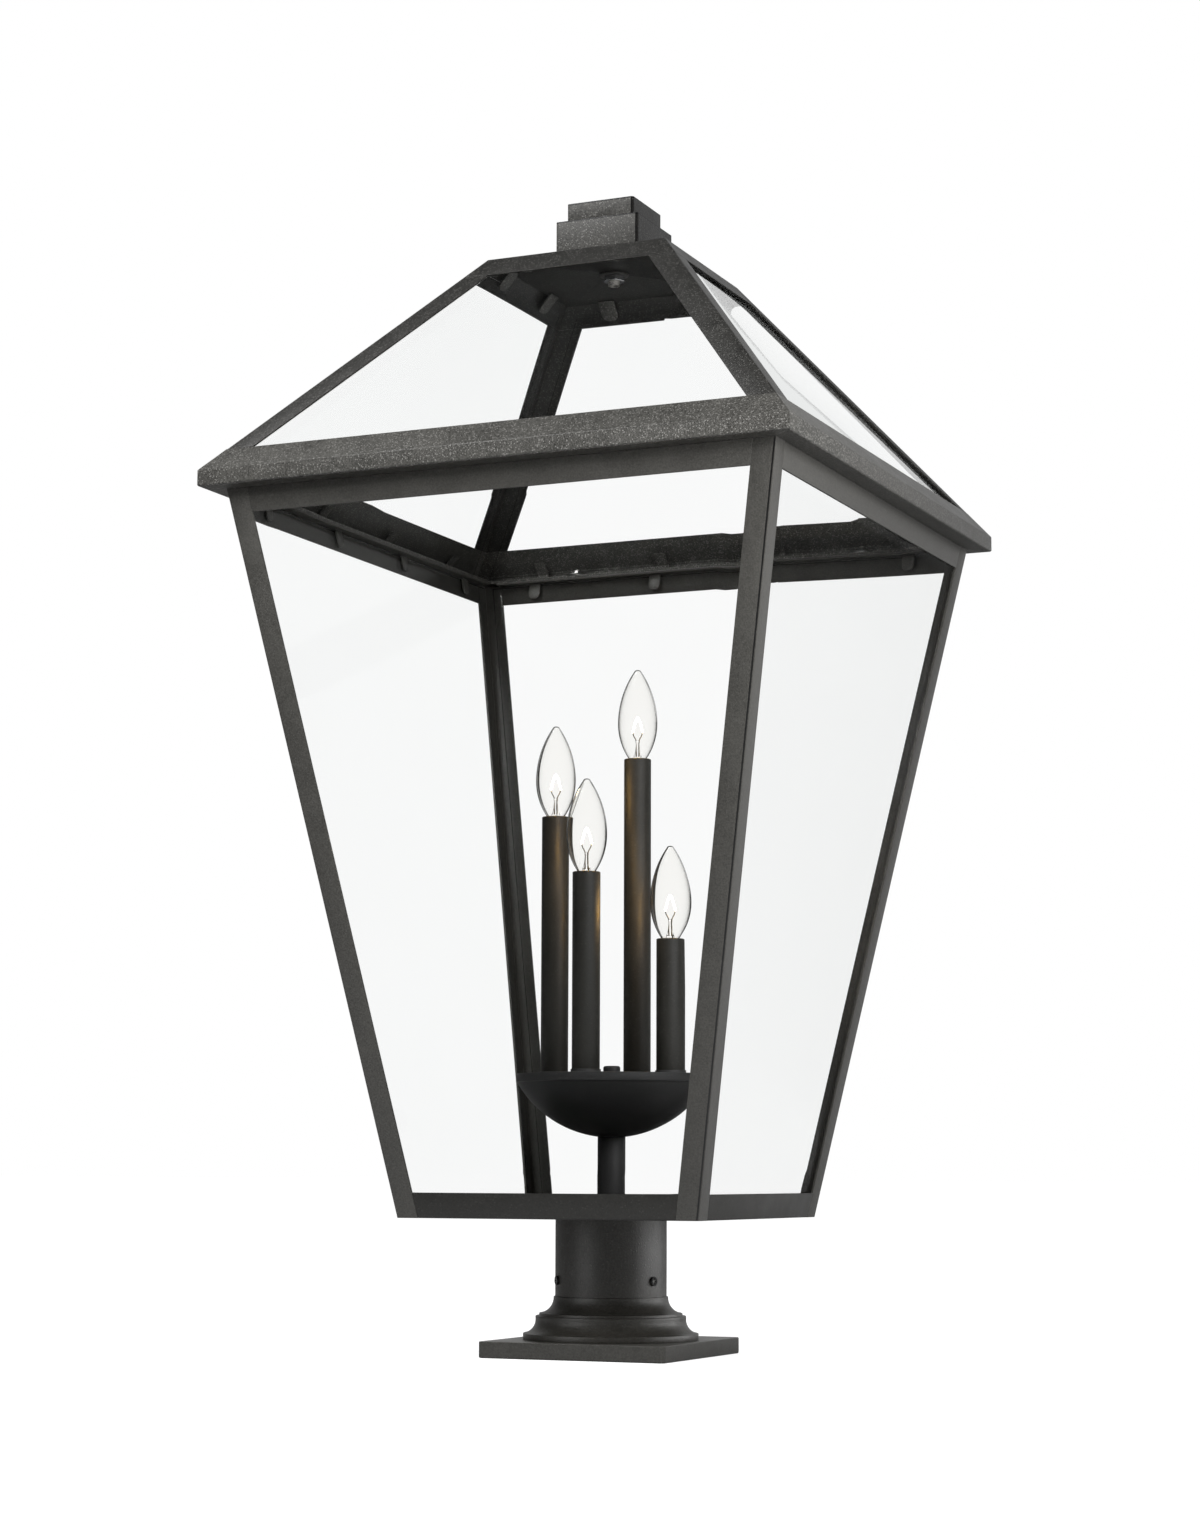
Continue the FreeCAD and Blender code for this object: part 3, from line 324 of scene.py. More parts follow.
# A material whose colour, roughness and relief come from one shared group
def surfaceMaterial(name, group, values, relief, metallic=0.0):
    material, tree, shader = newMaterial(name)
    shader.inputs["Metallic"].default_value = metallic
    place = addNode(tree, "ShaderNodeTexCoord")
    finish = addNode(tree, "ShaderNodeGroup", values, node_tree=group)
    join(tree, place, "Object", finish, "Vector")
    bump = addNode(tree, "ShaderNodeBump", {"Strength": relief[0], "Distance": relief[1]})
    join(tree, finish, "Colour", shader, "Base Color")
    join(tree, finish, "Roughness", shader, "Roughness")
    join(tree, finish, "Height", bump, "Height")
    join(tree, bump, "Normal", shader, "Normal")
    return material


# One black powder coat in lit and shaded copies, painted light and shade: roofPaint is lighter than
# bodyPaint, hipPaint and railPaint darker; neckPaint and castPaint are lighter and darker copies of the cast
# base's paint
paintLooks = {
    "roofPaint": {
        "dark": (0.01, 0.0097, 0.0087),
        "light": (0.066, 0.0643, 0.059),
        "speck": (0.125, 0.1225, 0.115),
        "speckShare": 0.3,
        "grainScale": 760.0,
        "roughness": 0.42,
        "relief": (0.6, 0.00025),
    },
    # A darker copy of roofPaint: painted shade on the hips and the crown
    "hipPaint": {
        "dark": (0.004, 0.0039, 0.0036),
        "light": (0.0235, 0.0229, 0.021),
        "speck": (0.055, 0.0539, 0.0506),
        "speckShare": 0.3,
        "grainScale": 760.0,
        "roughness": 0.45,
        "relief": (0.6, 0.00025),
    },
    # A darker copy of bodyPaint: painted shade on the bottom rails
    "railPaint": {
        "dark": (0.0092, 0.009, 0.0082),
        "light": (0.0192, 0.0187, 0.0171),
        "speck": (0.03, 0.0294, 0.0276),
        "speckShare": 0.08,
        "grainScale": 760.0,
        "roughness": 0.45,
        "relief": (0.4, 0.0003),
    },
    "bodyPaint": {
        "dark": (0.025, 0.0243, 0.0222),
        "light": (0.0525, 0.0511, 0.0467),
        "speck": (0.05, 0.049, 0.046),
        "speckShare": 0.08,
        "grainScale": 760.0,
        "roughness": 0.4,
        "relief": (0.4, 0.0003),
    },
    # A lighter copy of castPaint: painted light on the neck
    "neckPaint": {
        "dark": (0.0104, 0.0099, 0.0083),
        "light": (0.0273, 0.0257, 0.0224),
        "speck": (0.035, 0.034, 0.03),
        "speckShare": 0.1,
        "grainScale": 620.0,
        "roughness": 0.45,
        "relief": (0.5, 0.0003),
    },
    # Darker than neckPaint: painted shade on the moulding
    "castPaint": {
        "dark": (0.0092, 0.0087, 0.0074),
        "light": (0.0256, 0.0242, 0.021),
        "speck": (0.026, 0.0252, 0.0226),
        "speckShare": 0.1,
        "grainScale": 620.0,
        "roughness": 0.42,
        "relief": (0.5, 0.0003),
    },
    "bowlPaint": {
        "dark": (0.008, 0.008, 0.0082),
        "light": (0.016, 0.0158, 0.016),
        "speck": (0.02, 0.02, 0.02),
        "speckShare": 0.01,
        "grainScale": 900.0,
        "roughness": 0.55,
        "relief": (0.3, 0.0002),
    },
    "sleeveBronze": {
        "dark": (0.0068, 0.0065, 0.0055),
        "light": (0.0152, 0.0145, 0.0122),
        "speck": (0.025, 0.024, 0.021),
        "speckShare": 0.05,
        "grainScale": 700.0,
        "roughness": 0.5,
        "relief": (0.25, 0.0002),
    },
    "holderPlastic": {
        "dark": (0.02, 0.02, 0.02),
        "light": (0.03, 0.03, 0.03),
        "speck": (0.05, 0.05, 0.05),
        "speckShare": 0.0,
        "grainScale": 1200.0,
        "roughness": 0.5,
        "relief": (0.2, 0.0001),
    },
}


def makePaints():
    made = {}
    for name, look in paintLooks.items():
        values = {
            "Dark": (*look["dark"], 1),
            "Light": (*look["light"], 1),
            "Speck": (*look["speck"], 1),
            "Speck Share": look["speckShare"],
            "Grain Scale": look["grainScale"],
            "Roughness": look["roughness"],
        }
        made[name] = surfaceMaterial(name, powderGroup, values, look["relief"])
    return made


metalLooks = {
    "zincSteel": {
        "colour": (0.66, 0.66, 0.65),
        "tarnish": (0.42, 0.41, 0.38),
        "roughness": 0.3,
        "relief": (0.3, 0.0001),
    },
    "brightChrome": {
        "colour": (0.8, 0.8, 0.81),
        "tarnish": (0.7, 0.7, 0.7),
        "roughness": 0.12,
        "relief": (0.1, 0.00005),
    },
    "baseBrass": {
        "colour": (0.83, 0.6, 0.26),
        "tarnish": (0.55, 0.36, 0.14),
        "roughness": 0.25,
        "relief": (0.2, 0.00005),
    },
    "leadWire": {
        "colour": (0.85, 0.6, 0.28),
        "tarnish": (0.5, 0.32, 0.14),
        "roughness": 0.22,
        "relief": (0.1, 0.00002),
    },
    "threadedSteel": {
        "colour": (0.62, 0.6, 0.56),
        "tarnish": (0.35, 0.33, 0.3),
        "roughness": 0.3,
        "relief": (0.9, 0.0004),
    },
}
thread = {"pitch": 0.0011, "halfTurn": 0.5}


# Threaded rod: the relief is rings of a fine pitch
def cutThread(material):
    tree = material.node_tree
    split = addNode(tree, "ShaderNodeSeparateXYZ")
    join(tree, firstNode(tree, "TEX_COORD"), "Object", split, "Vector")
    turns = mathNode(tree, "DIVIDE", split.outputs["Z"], thread["pitch"])
    ridge = mathNode(tree, "PINGPONG", turns, thread["halfTurn"])
    tree.links.new(ridge, firstNode(tree, "BUMP").inputs["Height"])


def makeMetals():
    made = {}
    for name, look in metalLooks.items():
        values = {"Colour": (*look["colour"], 1), "Tarnish": (*look["tarnish"], 1)}
        values["Roughness"] = look["roughness"]
        made[name] = surfaceMaterial(name, metalGroup, values, look["relief"], metallic=1.0)
    cutThread(made["threadedSteel"])
    return made


# The surface is the first shader where the factor is 0, and the second one where it is 1.
def chooseShader(tree, factor, first, second):
    choose = addNode(tree, "ShaderNodeMixShader")
    for socket, source in zip(choose.inputs, (factor, first.outputs[0], second.outputs[0])):
        tree.links.new(source, socket)
    tree.links.new(choose.outputs[0], tree.nodes["Material Output"].inputs["Surface"])


glassLooks = {
    "paneGlass": {
        "tint": (0.988, 0.985, 0.986),
        "index": 1.09,
        "volume": {"Color": (0.6, 0.85, 0.76, 1), "Density": 5.0},
    },
    # bulbGlass: its warm tint is a painted warm glow, and its rim colour a painted dark reflection near the
    # outline
    "bulbGlass": {"tint": (0.992, 0.987, 0.975), "index": 1.5, "rim": (0.3, 0.29, 0.27, 1)},
}


# Clear glass bends what is seen through it, and lets lamp light and reflections pass straight.
def makeGlass(name, look):
    material, tree, shader = newMaterial(name)
    shader.inputs["Transmission Weight"].default_value = 1.0
    shader.inputs["IOR"].default_value = look["index"]
    shader.inputs["Specular Tint"].default_value = (0, 0, 0, 1)
    shader.inputs["Roughness"].default_value = 0.0
    place = addNode(tree, "ShaderNodeTexCoord")
    hazyTint = [part * glass["hazeShade"] for part in look["tint"]]
    tints = {"Tint": (*look["tint"], 1), "Hazy Tint": (*hazyTint, 1)}
    haze = addNode(tree, "ShaderNodeGroup", tints, node_tree=hazeGroup)
    join(tree, place, "Object", haze, "Vector")
    shade = haze.outputs["Colour"]
    # Painted dark reflection: the bulb glass darkens toward its outline
    if "rim" in look:
        facing = addNode(tree, "ShaderNodeLayerWeight", {"Blend": 0.5})
        atRim = remap(tree, facing.outputs["Facing"], *glass["rimFacing"])
        shade = mixColour(tree, atRim, shade, look["rim"])
    tree.links.new(shade, shader.inputs["Base Color"])
    clear = addNode(tree, "ShaderNodeBsdfTransparent", {"Color": glass["clear"]})
    path = addNode(tree, "ShaderNodeLightPath")
    straight = mathNode(tree, "MAXIMUM", path.outputs["Is Shadow Ray"], path.outputs["Is Reflection Ray"])
    chooseShader(tree, straight, shader, clear)
    if "volume" in look:
        absorb = addNode(tree, "ShaderNodeVolumeAbsorption", look["volume"])
        tree.links.new(absorb.outputs[0], tree.nodes["Material Output"].inputs["Volume"])
    return material


glow = {
    "colour": (1.0, 0.78, 0.48),
    "paler": 0.5,
    "strength": 160.0,
    "flicker": {"Scale": 900.0, "Detail": 1.0},
    "firstMirror": 0.5,
}


# A filament is bright in itself, and plain in mirrored images.
def makeGlow(name):
    material, tree, shader = newMaterial(name)
    colour = (*glow["colour"], 1)
    pale = tuple(1.0 - (1.0 - part) * glow["paler"] for part in colour)
    place = addNode(tree, "ShaderNodeTexCoord")
    flicker = addNoise(tree, glow["flicker"], place.outputs["Object"])
    shade = mixColour(tree, flicker.outputs["Fac"], colour, pale)
    tree.links.new(shade, shader.inputs["Emission Color"])
    shader.inputs["Emission Strength"].default_value = glow["strength"]
    shader.inputs["Base Color"].default_value = colour
    plain = addNode(tree, "ShaderNodeBsdfDiffuse", {"Color": colour})
    path = addNode(tree, "ShaderNodeLightPath")
    mirrored = mathNode(tree, "GREATER_THAN", path.outputs["Glossy Depth"], glow["firstMirror"])
    chooseShader(tree, mirrored, shader, plain)
    return material


paints = makePaints()
metals = makeMetals()
glasses = {name: makeGlass(name, look) for name, look in glassLooks.items()}
filamentGlow = makeGlow("filamentGlow")
print("materials made")


# The carried-over pieces: joined triangles, softened edges, smooth round faces

sharpAngle = math.radians(32)
weldDistance = 0.000002


def makeSmoothTree():
    tree = bpy.data.node_groups.new("smoothByAngle", "GeometryNodeTree")
    for way in ("INPUT", "OUTPUT"):
        tree.interface.new_socket("Geometry", in_out=way, socket_type="NodeSocketGeometry")
    given = tree.nodes.new("NodeGroupInput")
    result = tree.nodes.new("NodeGroupOutput")
    faces = addNode(tree, "GeometryNodeSetShadeSmooth", {"Shade Smooth": True}, domain="FACE")
    angle = addNode(tree, "GeometryNodeInputMeshEdgeAngle")
    steep = addNode(tree, "FunctionNodeCompare", data_type="FLOAT", operation="GREATER_THAN")
    steep.inputs["B"].default_value = sharpAngle
    edges = addNode(tree, "GeometryNodeSetShadeSmooth", {"Shade Smooth": False}, domain="EDGE")
    join(tree, given, "Geometry", faces, "Geometry")
    join(tree, faces, "Geometry", edges, "Geometry")
    join(tree, angle, "Unsigned Angle", steep, "A")
    join(tree, steep, "Result", edges, "Selection")
    join(tree, edges, "Geometry", result, "Geometry")
    return tree


smoothTree = makeSmoothTree()
# Widths of the softened edges
edge = {
    "plate": 0.0014,
    "eave": 0.0009,
    "cap": 0.0006,
    "frame": 0.0005,
    "cast": 0.0004,
    "turned": 0.0003,
    "thin": 0.0002,
}
edgeSteps = {"plain": 2, "sheet": 3, "plate": 4}


def finishNode(name, material, bevel=0.0, segments=edgeSteps["plain"]):
    piece = nodes[name]
    piece.data.materials.clear()
    piece.data.materials.append(material)
    weld = piece.modifiers.new("weld", "WELD")
    weld.merge_threshold = weldDistance
    if bevel:
        soften = piece.modifiers.new("soften", "BEVEL")
        soften.width = bevel
        soften.segments = segments
        soften.limit_method = "ANGLE"
        soften.angle_limit = sharpAngle
        soften.use_clamp_overlap = True
    smooth = piece.modifiers.new("smooth", "NODES")
    smooth.node_group = smoothTree


# A paint with the dark lines of the box group: seams, and painted shade lines; a factor above 1 makes its
# colours lighter, as painted light
def makeSeamShadePaint(name, source, lineValues, paintedLight=1.0):
    material = paints[source].copy()
    material.name = name
    tree = material.node_tree
    place, finish, bump = (firstNode(tree, kind) for kind in ("TEX_COORD", "GROUP", "BUMP"))
    seamShadeMask = addNode(tree, "ShaderNodeGroup", lineValues, node_tree=seamShadeGroup)
    join(tree, place, "Object", seamShadeMask, "Vector")
    # Colours made lighter by the factor: painted light
    for label in ("Dark", "Light", "Speck"):
        colour = finish.inputs[label].default_value
        finish.inputs[label].default_value = [part * paintedLight for part in colour[:3]] + [1]
    shade = mixColour(tree, seamShadeMask.outputs["Mask"], finish.outputs["Colour"], seamAndShade["colour"])
    tree.links.new(shade, firstNode(tree, "BSDF_PRINCIPLED").inputs["Base Color"])
    cut = mathNode(tree, "MULTIPLY", seamShadeMask.outputs["Mask"], seamAndShade["depth"])
    tree.links.new(mathNode(tree, "SUBTRACT", finish.outputs["Height"], cut), bump.inputs["Height"])
    return material


# Caps: dark seams at the corners, a painted shadow line along the top rim, and colours a little lighter as
# painted light
capSeamAndShade = {"inset": 0.0014, "line": 0.0007, "rim": 0.0011, "paintedLight": 1.05}


def makeCapPaint(name):
    low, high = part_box(name)
    lineValues = {
        "Half Width": (high.x - low.x) / 2,
        "Inset": capSeamAndShade["inset"],
        "Line": capSeamAndShade["line"],
        "Shade Line Height": high.z - capSeamAndShade["rim"],
    }
    return makeSeamShadePaint(f"{name}Paint", "roofPaint", lineValues, capSeamAndShade["paintedLight"])


postShadeLine = {"inset": 0.0009, "line": 0.0009, "aboveAll": 10.0, "near": 0.002}


# The posts lean out, so their corner line, a painted shade line, follows the body's width at each height.
# They have no rim line.
def makePostPaint():
    corners = [vert.co for side in sides for vert in nodes[f"corner_post_{side}"].data.vertices]
    heights = (min(corner.z for corner in corners), max(corner.z for corner in corners))
    foot, head = (
        max(corner.x for corner in corners if abs(corner.z - height) < postShadeLine["near"]) for height in heights
    )
    lean = (head - foot) / (heights[1] - heights[0])
    lineValues = {
        "Half Width": foot - lean * heights[0],
        "Lean": lean,
        "Inset": postShadeLine["inset"],
        "Line": postShadeLine["line"],
        "Shade Line Height": postShadeLine["aboveAll"],
    }
    return makeSeamShadePaint("postPaint", "bodyPaint", lineValues)


def dressFrame():
    postPaint = makePostPaint()
    for side in sides:
        finishNode(f"corner_post_{side}", postPaint, edge["thin"])
        finishNode(f"bottom_rail_{side}", paints["railPaint"], edge["frame"])
        finishNode(f"top_rail_{side}", paints["bodyPaint"], edge["frame"])
        finishNode(f"eave_rail_{side}", paints["roofPaint"], edge["eave"], edgeSteps["sheet"])
        finishNode(f"roof_hip_{side}", paints["hipPaint"], edge["frame"])
        finishNode(f"side_pane_{side}", glasses["paneGlass"])
        finishNode(f"roof_pane_{side}", glasses["paneGlass"])
    finishNode("roof_crown", paints["hipPaint"], edge["frame"])
    for name in ("cap_lower", "cap_upper"):
        finishNode(name, makeCapPaint(name), edge["cap"], edgeSteps["sheet"])
    finishNode("floor_plate", paints["bodyPaint"], edge["frame"])
    finishNode("side_pane_tabs", paints["bodyPaint"], edge["thin"])
    finishNode("roof_pane_tabs", paints["roofPaint"], edge["thin"])
    print("frame dressed")


# Black screw whose driven recess is worn bright
def makeScrewFinish(number):
    low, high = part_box(f"set_screw_{number}")
    centre = (low + high) / 2
    material = surfaceMaterial(f"blackScrew_{number}", powderGroup, screw["finish"], screw["relief"])
    tree = material.node_tree
    place, finish, shader = (firstNode(tree, kind) for kind in ("TEX_COORD", "GROUP", "BSDF_PRINCIPLED"))
    mapping = addNode(tree, "ShaderNodeMapping", vector_type="TEXTURE")
    mapping.inputs["Location"].default_value = centre
    mapping.inputs["Rotation"].default_value = (0, 0, math.atan2(centre.y, centre.x))
    join(tree, place, "Object", mapping, "Vector")
    wear = addNode(tree, "ShaderNodeGroup", node_tree=wearGroup)
    join(tree, mapping, "Vector", wear, "Vector")
    join(tree, wear, "Mask", shader, "Metallic")
    shade = mixColour(tree, wear.outputs["Mask"], finish.outputs["Colour"], screw["wornColour"])
    tree.links.new(shade, shader.inputs["Base Color"])
    return material


def dressBase():
    finishNode("pier_plate", paints["bodyPaint"], edge["plate"], edgeSteps["plate"])
    finishNode("pier_base_moulding", paints["castPaint"], edge["cast"])
    finishNode("neck", paints["neckPaint"])
    for number in (1, 2, 3):
        finishNode(f"set_screw_{number}", makeScrewFinish(number), edge["thin"])
    print("base dressed")


def dressCluster():
    finishNode("stem_tube", paints["bowlPaint"], edge["turned"])
    finishNode("bowl", paints["bowlPaint"], edge["cast"])
    finishNode("bowl_cover", paints["bowlPaint"], edge["turned"])
    finishNode("cluster_knob", paints["bowlPaint"], edge["cast"])
    finishNode("stem_rod", metals["threadedSteel"])
    finishNode("stem_nut", metals["zincSteel"], edge["turned"])
    finishNode("lamp_holders", paints["holderPlastic"], edge["turned"])
    for candle in candles:
        finishNode(f"candle_sleeve_{candle}", paints["sleeveBronze"], edge["thin"])
    print("cluster dressed")


def dressFasteners():
    finishNode("roof_studs", metals["threadedSteel"])
    finishNode("roof_nuts", metals["zincSteel"], edge["turned"])
    finishNode("cap_nipple", metals["threadedSteel"])
    finishNode("cap_washer", paints["bodyPaint"], edge["turned"])
    finishNode("cap_nut", metals["brightChrome"], edge["frame"])
    print("fasteners dressed")


# New pieces


def placeMesh(name, mesh, material):
    data = bpy.data.meshes.new(name)
    mesh.to_mesh(data)
    mesh.free()
    data.materials.append(material)
    item = bpy.data.objects.new(name, data)
    bpy.context.scene.collection.objects.link(item)
    return item


def newPiece(name, mesh, material, body):
    piece = placeMesh(name, mesh, material)
    for face in piece.data.polygons:
        face.use_smooth = True
    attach(piece, body)
    return piece


mergeDistance = 0.00001


# Turns a profile of (radius, height) pairs about a vertical axis at a place.
def turnProfile(mesh, profile, centre, steps):
    points = [mesh.verts.new((centre.x + radius, centre.y, height)) for radius, height in profile]
    edges = [mesh.edges.new(pair) for pair in zip(points, points[1:])]
    bmesh.ops.spin(
        mesh,
        geom=points + edges,
        cent=(centre.x, centre.y, 0),
        axis=(0, 0, 1),
        angle=math.tau,
        steps=steps,
        use_merge=True,
        use_duplicate=False,
    )
    bmesh.ops.remove_doubles(mesh, verts=mesh.verts, dist=mergeDistance)
    bmesh.ops.recalc_face_normals(mesh, faces=mesh.faces)


# Points of an arc that leaves the belly straight up or down and ends at a point of given radius and rise
def arcFromBelly(belly, end, rise, count):
    across = belly - end
    radius = (across * across + rise * rise) / (2 * across)
    sweep = math.asin(min(1.0, abs(rise) / radius))
    points = []
    for step in range(count + 1):
        turn = sweep * step / count
        height = math.copysign(radius * math.sin(turn), rise)
        points.append((belly - radius + radius * math.cos(turn), height))
    return points


bulb = {
    "neck": 0.0058,
    "belly": 0.0168,
    "bellyHeight": 0.031,
    "length": 0.0775,
    "sink": 0.002,
    "tip": 0.003,
    "tipRise": 0.0016,
    "glass": 0.0007,
    "lowerSteps": 14,
    "upperSteps": 18,
    "tipSteps": 4,
    "roundSteps": 64,
}


def makeBulbGlass(candle, body, centre, top):
    middle = top + bulb["bellyHeight"]
    foot = top - bulb["sink"]
    shoulder = top + bulb["length"] - bulb["tipRise"]
    lower = arcFromBelly(bulb["belly"], bulb["neck"], foot - middle, bulb["lowerSteps"])
    upper = arcFromBelly(bulb["belly"], bulb["tip"], shoulder - middle, bulb["upperSteps"])
    profile = [(0.0, foot)] + [(radius, middle + rise) for radius, rise in reversed(lower)]
    profile += [(radius, middle + rise) for radius, rise in upper[1:]]
    for step in range(1, bulb["tipSteps"] + 1):
        turn = math.pi / 2 * step / bulb["tipSteps"]
        profile.append((bulb["tip"] * math.cos(turn), shoulder + bulb["tipRise"] * math.sin(turn)))
    mesh = bmesh.new()
    turnProfile(mesh, profile, centre, bulb["roundSteps"])
    bmesh.ops.solidify(mesh, geom=mesh.faces[:], thickness=bulb["glass"])
    piece = newPiece(f"bulbGlass_{candle}", mesh, glasses["bulbGlass"], body)
    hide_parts(f"bulb_{candle}")


# Pairs are a radius and a height, over the foot for the contact and over the crown for the rim.
screwBase = {
    "radius": 0.0058,
    "depth": 0.022,
    "gap": 0.0001,
    "footRise": 0.0002,
    "contact": [(0.0, 0.0), (0.0018, 0.0), (0.0022, 0.0006), (0.0022, 0.0014), (0.0045, 0.0026)],
    "rim": [(0.0058, -0.0006), (0.0053, 0.0), (0.0, 0.0)],
    "threadFrom": 0.0034,
    "threadTo": 0.003,
    "threadPitch": 0.0022,
    "threadDepth": 0.0005,
    "threadSteps": 4,
    "roundSteps": 40,
}


# Screw base: a brass shell with rolled rings and a solder tip
def makeBulbBase(candle, body, centre, top):
    crown = top - bulb["sink"] - screwBase["gap"]
    foot = crown - screwBase["depth"] + screwBase["footRise"]
    profile = [(radius, foot + rise) for radius, rise in screwBase["contact"]]
    height = foot + screwBase["threadFrom"]
    steps = screwBase["threadSteps"]
    turns = int((crown - screwBase["threadTo"] - height) / screwBase["threadPitch"] * steps)
    for step in range(turns + 1):
        wave = 0.5 - 0.5 * math.cos(math.tau * step / steps)
        profile.append((screwBase["radius"] - screwBase["threadDepth"] * wave, height))
        height += screwBase["threadPitch"] / steps
    profile += [(radius, crown + rise) for radius, rise in screwBase["rim"]]
    mesh = bmesh.new()
    turnProfile(mesh, profile, centre, screwBase["roundSteps"])
    newPiece(f"bulbBase_{candle}", mesh, metals["baseBrass"], body)


# The glass mount of the leads: radii, and heights over its foot
mount = {
    "sink": 0.0008,
    "foot": [(0.0, 0.0), (0.0042, 0.0), (0.0034, 0.003), (0.0019, 0.008)],
    "head": [(0.0014, 0.014), (0.0018, 0.0158), (0.0009, 0.017), (0.0, 0.0172)],
    "roundSteps": 24,
}


def makeBulbMount(candle, body, centre, top):
    low = top - mount["sink"]
    mesh = bmesh.new()
    profile = [(radius, low + rise) for radius, rise in mount["foot"] + mount["head"]]
    turnProfile(mesh, profile, centre, mount["roundSteps"])
    newPiece(f"bulbMount_{candle}", mesh, glasses["bulbGlass"], body)


# Heights are over the top of the sleeve.
filament = {
    "low": 0.024,
    "rise": 0.011,
    "halfWidth": 0.0044,
    "coil": 0.0012,
    "wire": 0.0004,
    "wireSides": 6,
    "turns": 20,
    "turnSteps": 12,
}
leads = {
    "radius": 0.0004,
    "sides": 1,
    "path": [(0.0008, 0.002), (0.001, 0.008), (0.001, 0.0165)],
    "straight": 0.003,
    "order": 3,
    "steps": 4,
}


# Two lead wires as one smooth line each, made a mesh
def makeBulbWires(candle, body, centre, top):
    line = bpy.data.curves.new("leads", "CURVE")
    line.dimensions = "3D"
    line.bevel_depth = leads["radius"]
    line.bevel_resolution = leads["sides"]
    line.use_fill_caps = True
    half, end = filament["halfWidth"], filament["low"]
    path = leads["path"] + [(half, end - leads["straight"]), (half, end)]
    for hand in (-1, 1):
        spline = line.splines.new("NURBS")
        spline.points.add(len(path) - 1)
        for point, (across, height) in zip(spline.points, path):
            point.co = (centre.x + hand * across, centre.y, top + height, 1)
        spline.order_u = leads["order"]
        spline.use_endpoint_u = True
        spline.resolution_u = leads["steps"]
    holder = bpy.data.objects.new("leads", line)
    swept = bpy.data.meshes.new_from_object(holder)
    mesh = bmesh.new()
    mesh.from_mesh(swept)
    bpy.data.objects.remove(holder)
    bpy.data.curves.remove(line)
    bpy.data.meshes.remove(swept)
    newPiece(f"bulbWires_{candle}", mesh, metals["leadWire"], body)


# Coiled filament: a ring spun along a line, then lifted into an arch between the leads
def makeBulbFilament(candle, body, centre, top):
    half, turns = filament["halfWidth"], filament["turns"]
    steps = turns * filament["turnSteps"]
    start = Vector((centre.x - half, centre.y, top + filament["low"]))
    mesh = bmesh.new()
    ring = Matrix.Translation(start + Vector((0, 0, filament["coil"]))) @ Matrix.Rotation(math.pi / 2, 4, "X")
    bmesh.ops.create_circle(mesh, segments=filament["wireSides"], radius=filament["wire"], matrix=ring)
    bmesh.ops.spin(
        mesh,
        geom=mesh.edges[:],
        cent=start,
        axis=(1, 0, 0),
        dvec=(2 * half / steps, 0, 0),
        angle=math.tau * turns,
        steps=steps,
    )
    for vert in mesh.verts:
        along = min(1.0, max(0.0, (vert.co.x - start.x) / (2 * half)))
        vert.co.z += filament["rise"] * math.sin(math.pi * along)
    bmesh.ops.holes_fill(mesh, edges=[rim for rim in mesh.edges if rim.is_boundary])
    bmesh.ops.recalc_face_normals(mesh, faces=mesh.faces)
    newPiece(f"bulbFilament_{candle}", mesh, filamentGlow, body)


def sleeveTop(candle):
    low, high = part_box(f"candle_sleeve_{candle}")
    return Vector(((low.x + high.x) / 2, (low.y + high.y) / 2, high.z))


def makeBulbs():
    for candle in candles:
        centre = sleeveTop(candle)
        for makePart in (makeBulbGlass, makeBulbBase, makeBulbMount, makeBulbWires, makeBulbFilament):
            makePart(candle, f"{candle}_bulb", centre, centre.z)
    print("bulbs made")


# Stage: pale floor, soft white room and lamps

floorLook = {
    "size": 40.0,
    "colour": 0.35,
    "roughness": 0.9,
    "shine": 0.1,
    "fade": (0.35, 1.5, 0.74, 1.0),
    "mirroredFrom": (0.2, 0.9),
}
room = {
    "softLight": 0.08,
    "reflectedLight": 0.08,
    "reflectedBackdrop": 0.6,
    "backdropEdge": (0.35, 0.65),
    "backdropHead": (0.7, 0.85),
    "paneBackdrop": 0.95,
    "paneHorizon": (0.1, 0.2),
}


# Rays that come straight from the camera, or to it through glass
def seenDirectly(tree):
    path = addNode(tree, "ShaderNodeLightPath")
    return mathNode(tree, "MAXIMUM", path.outputs["Is Camera Ray"], path.outputs["Is Transmission Ray"]), path


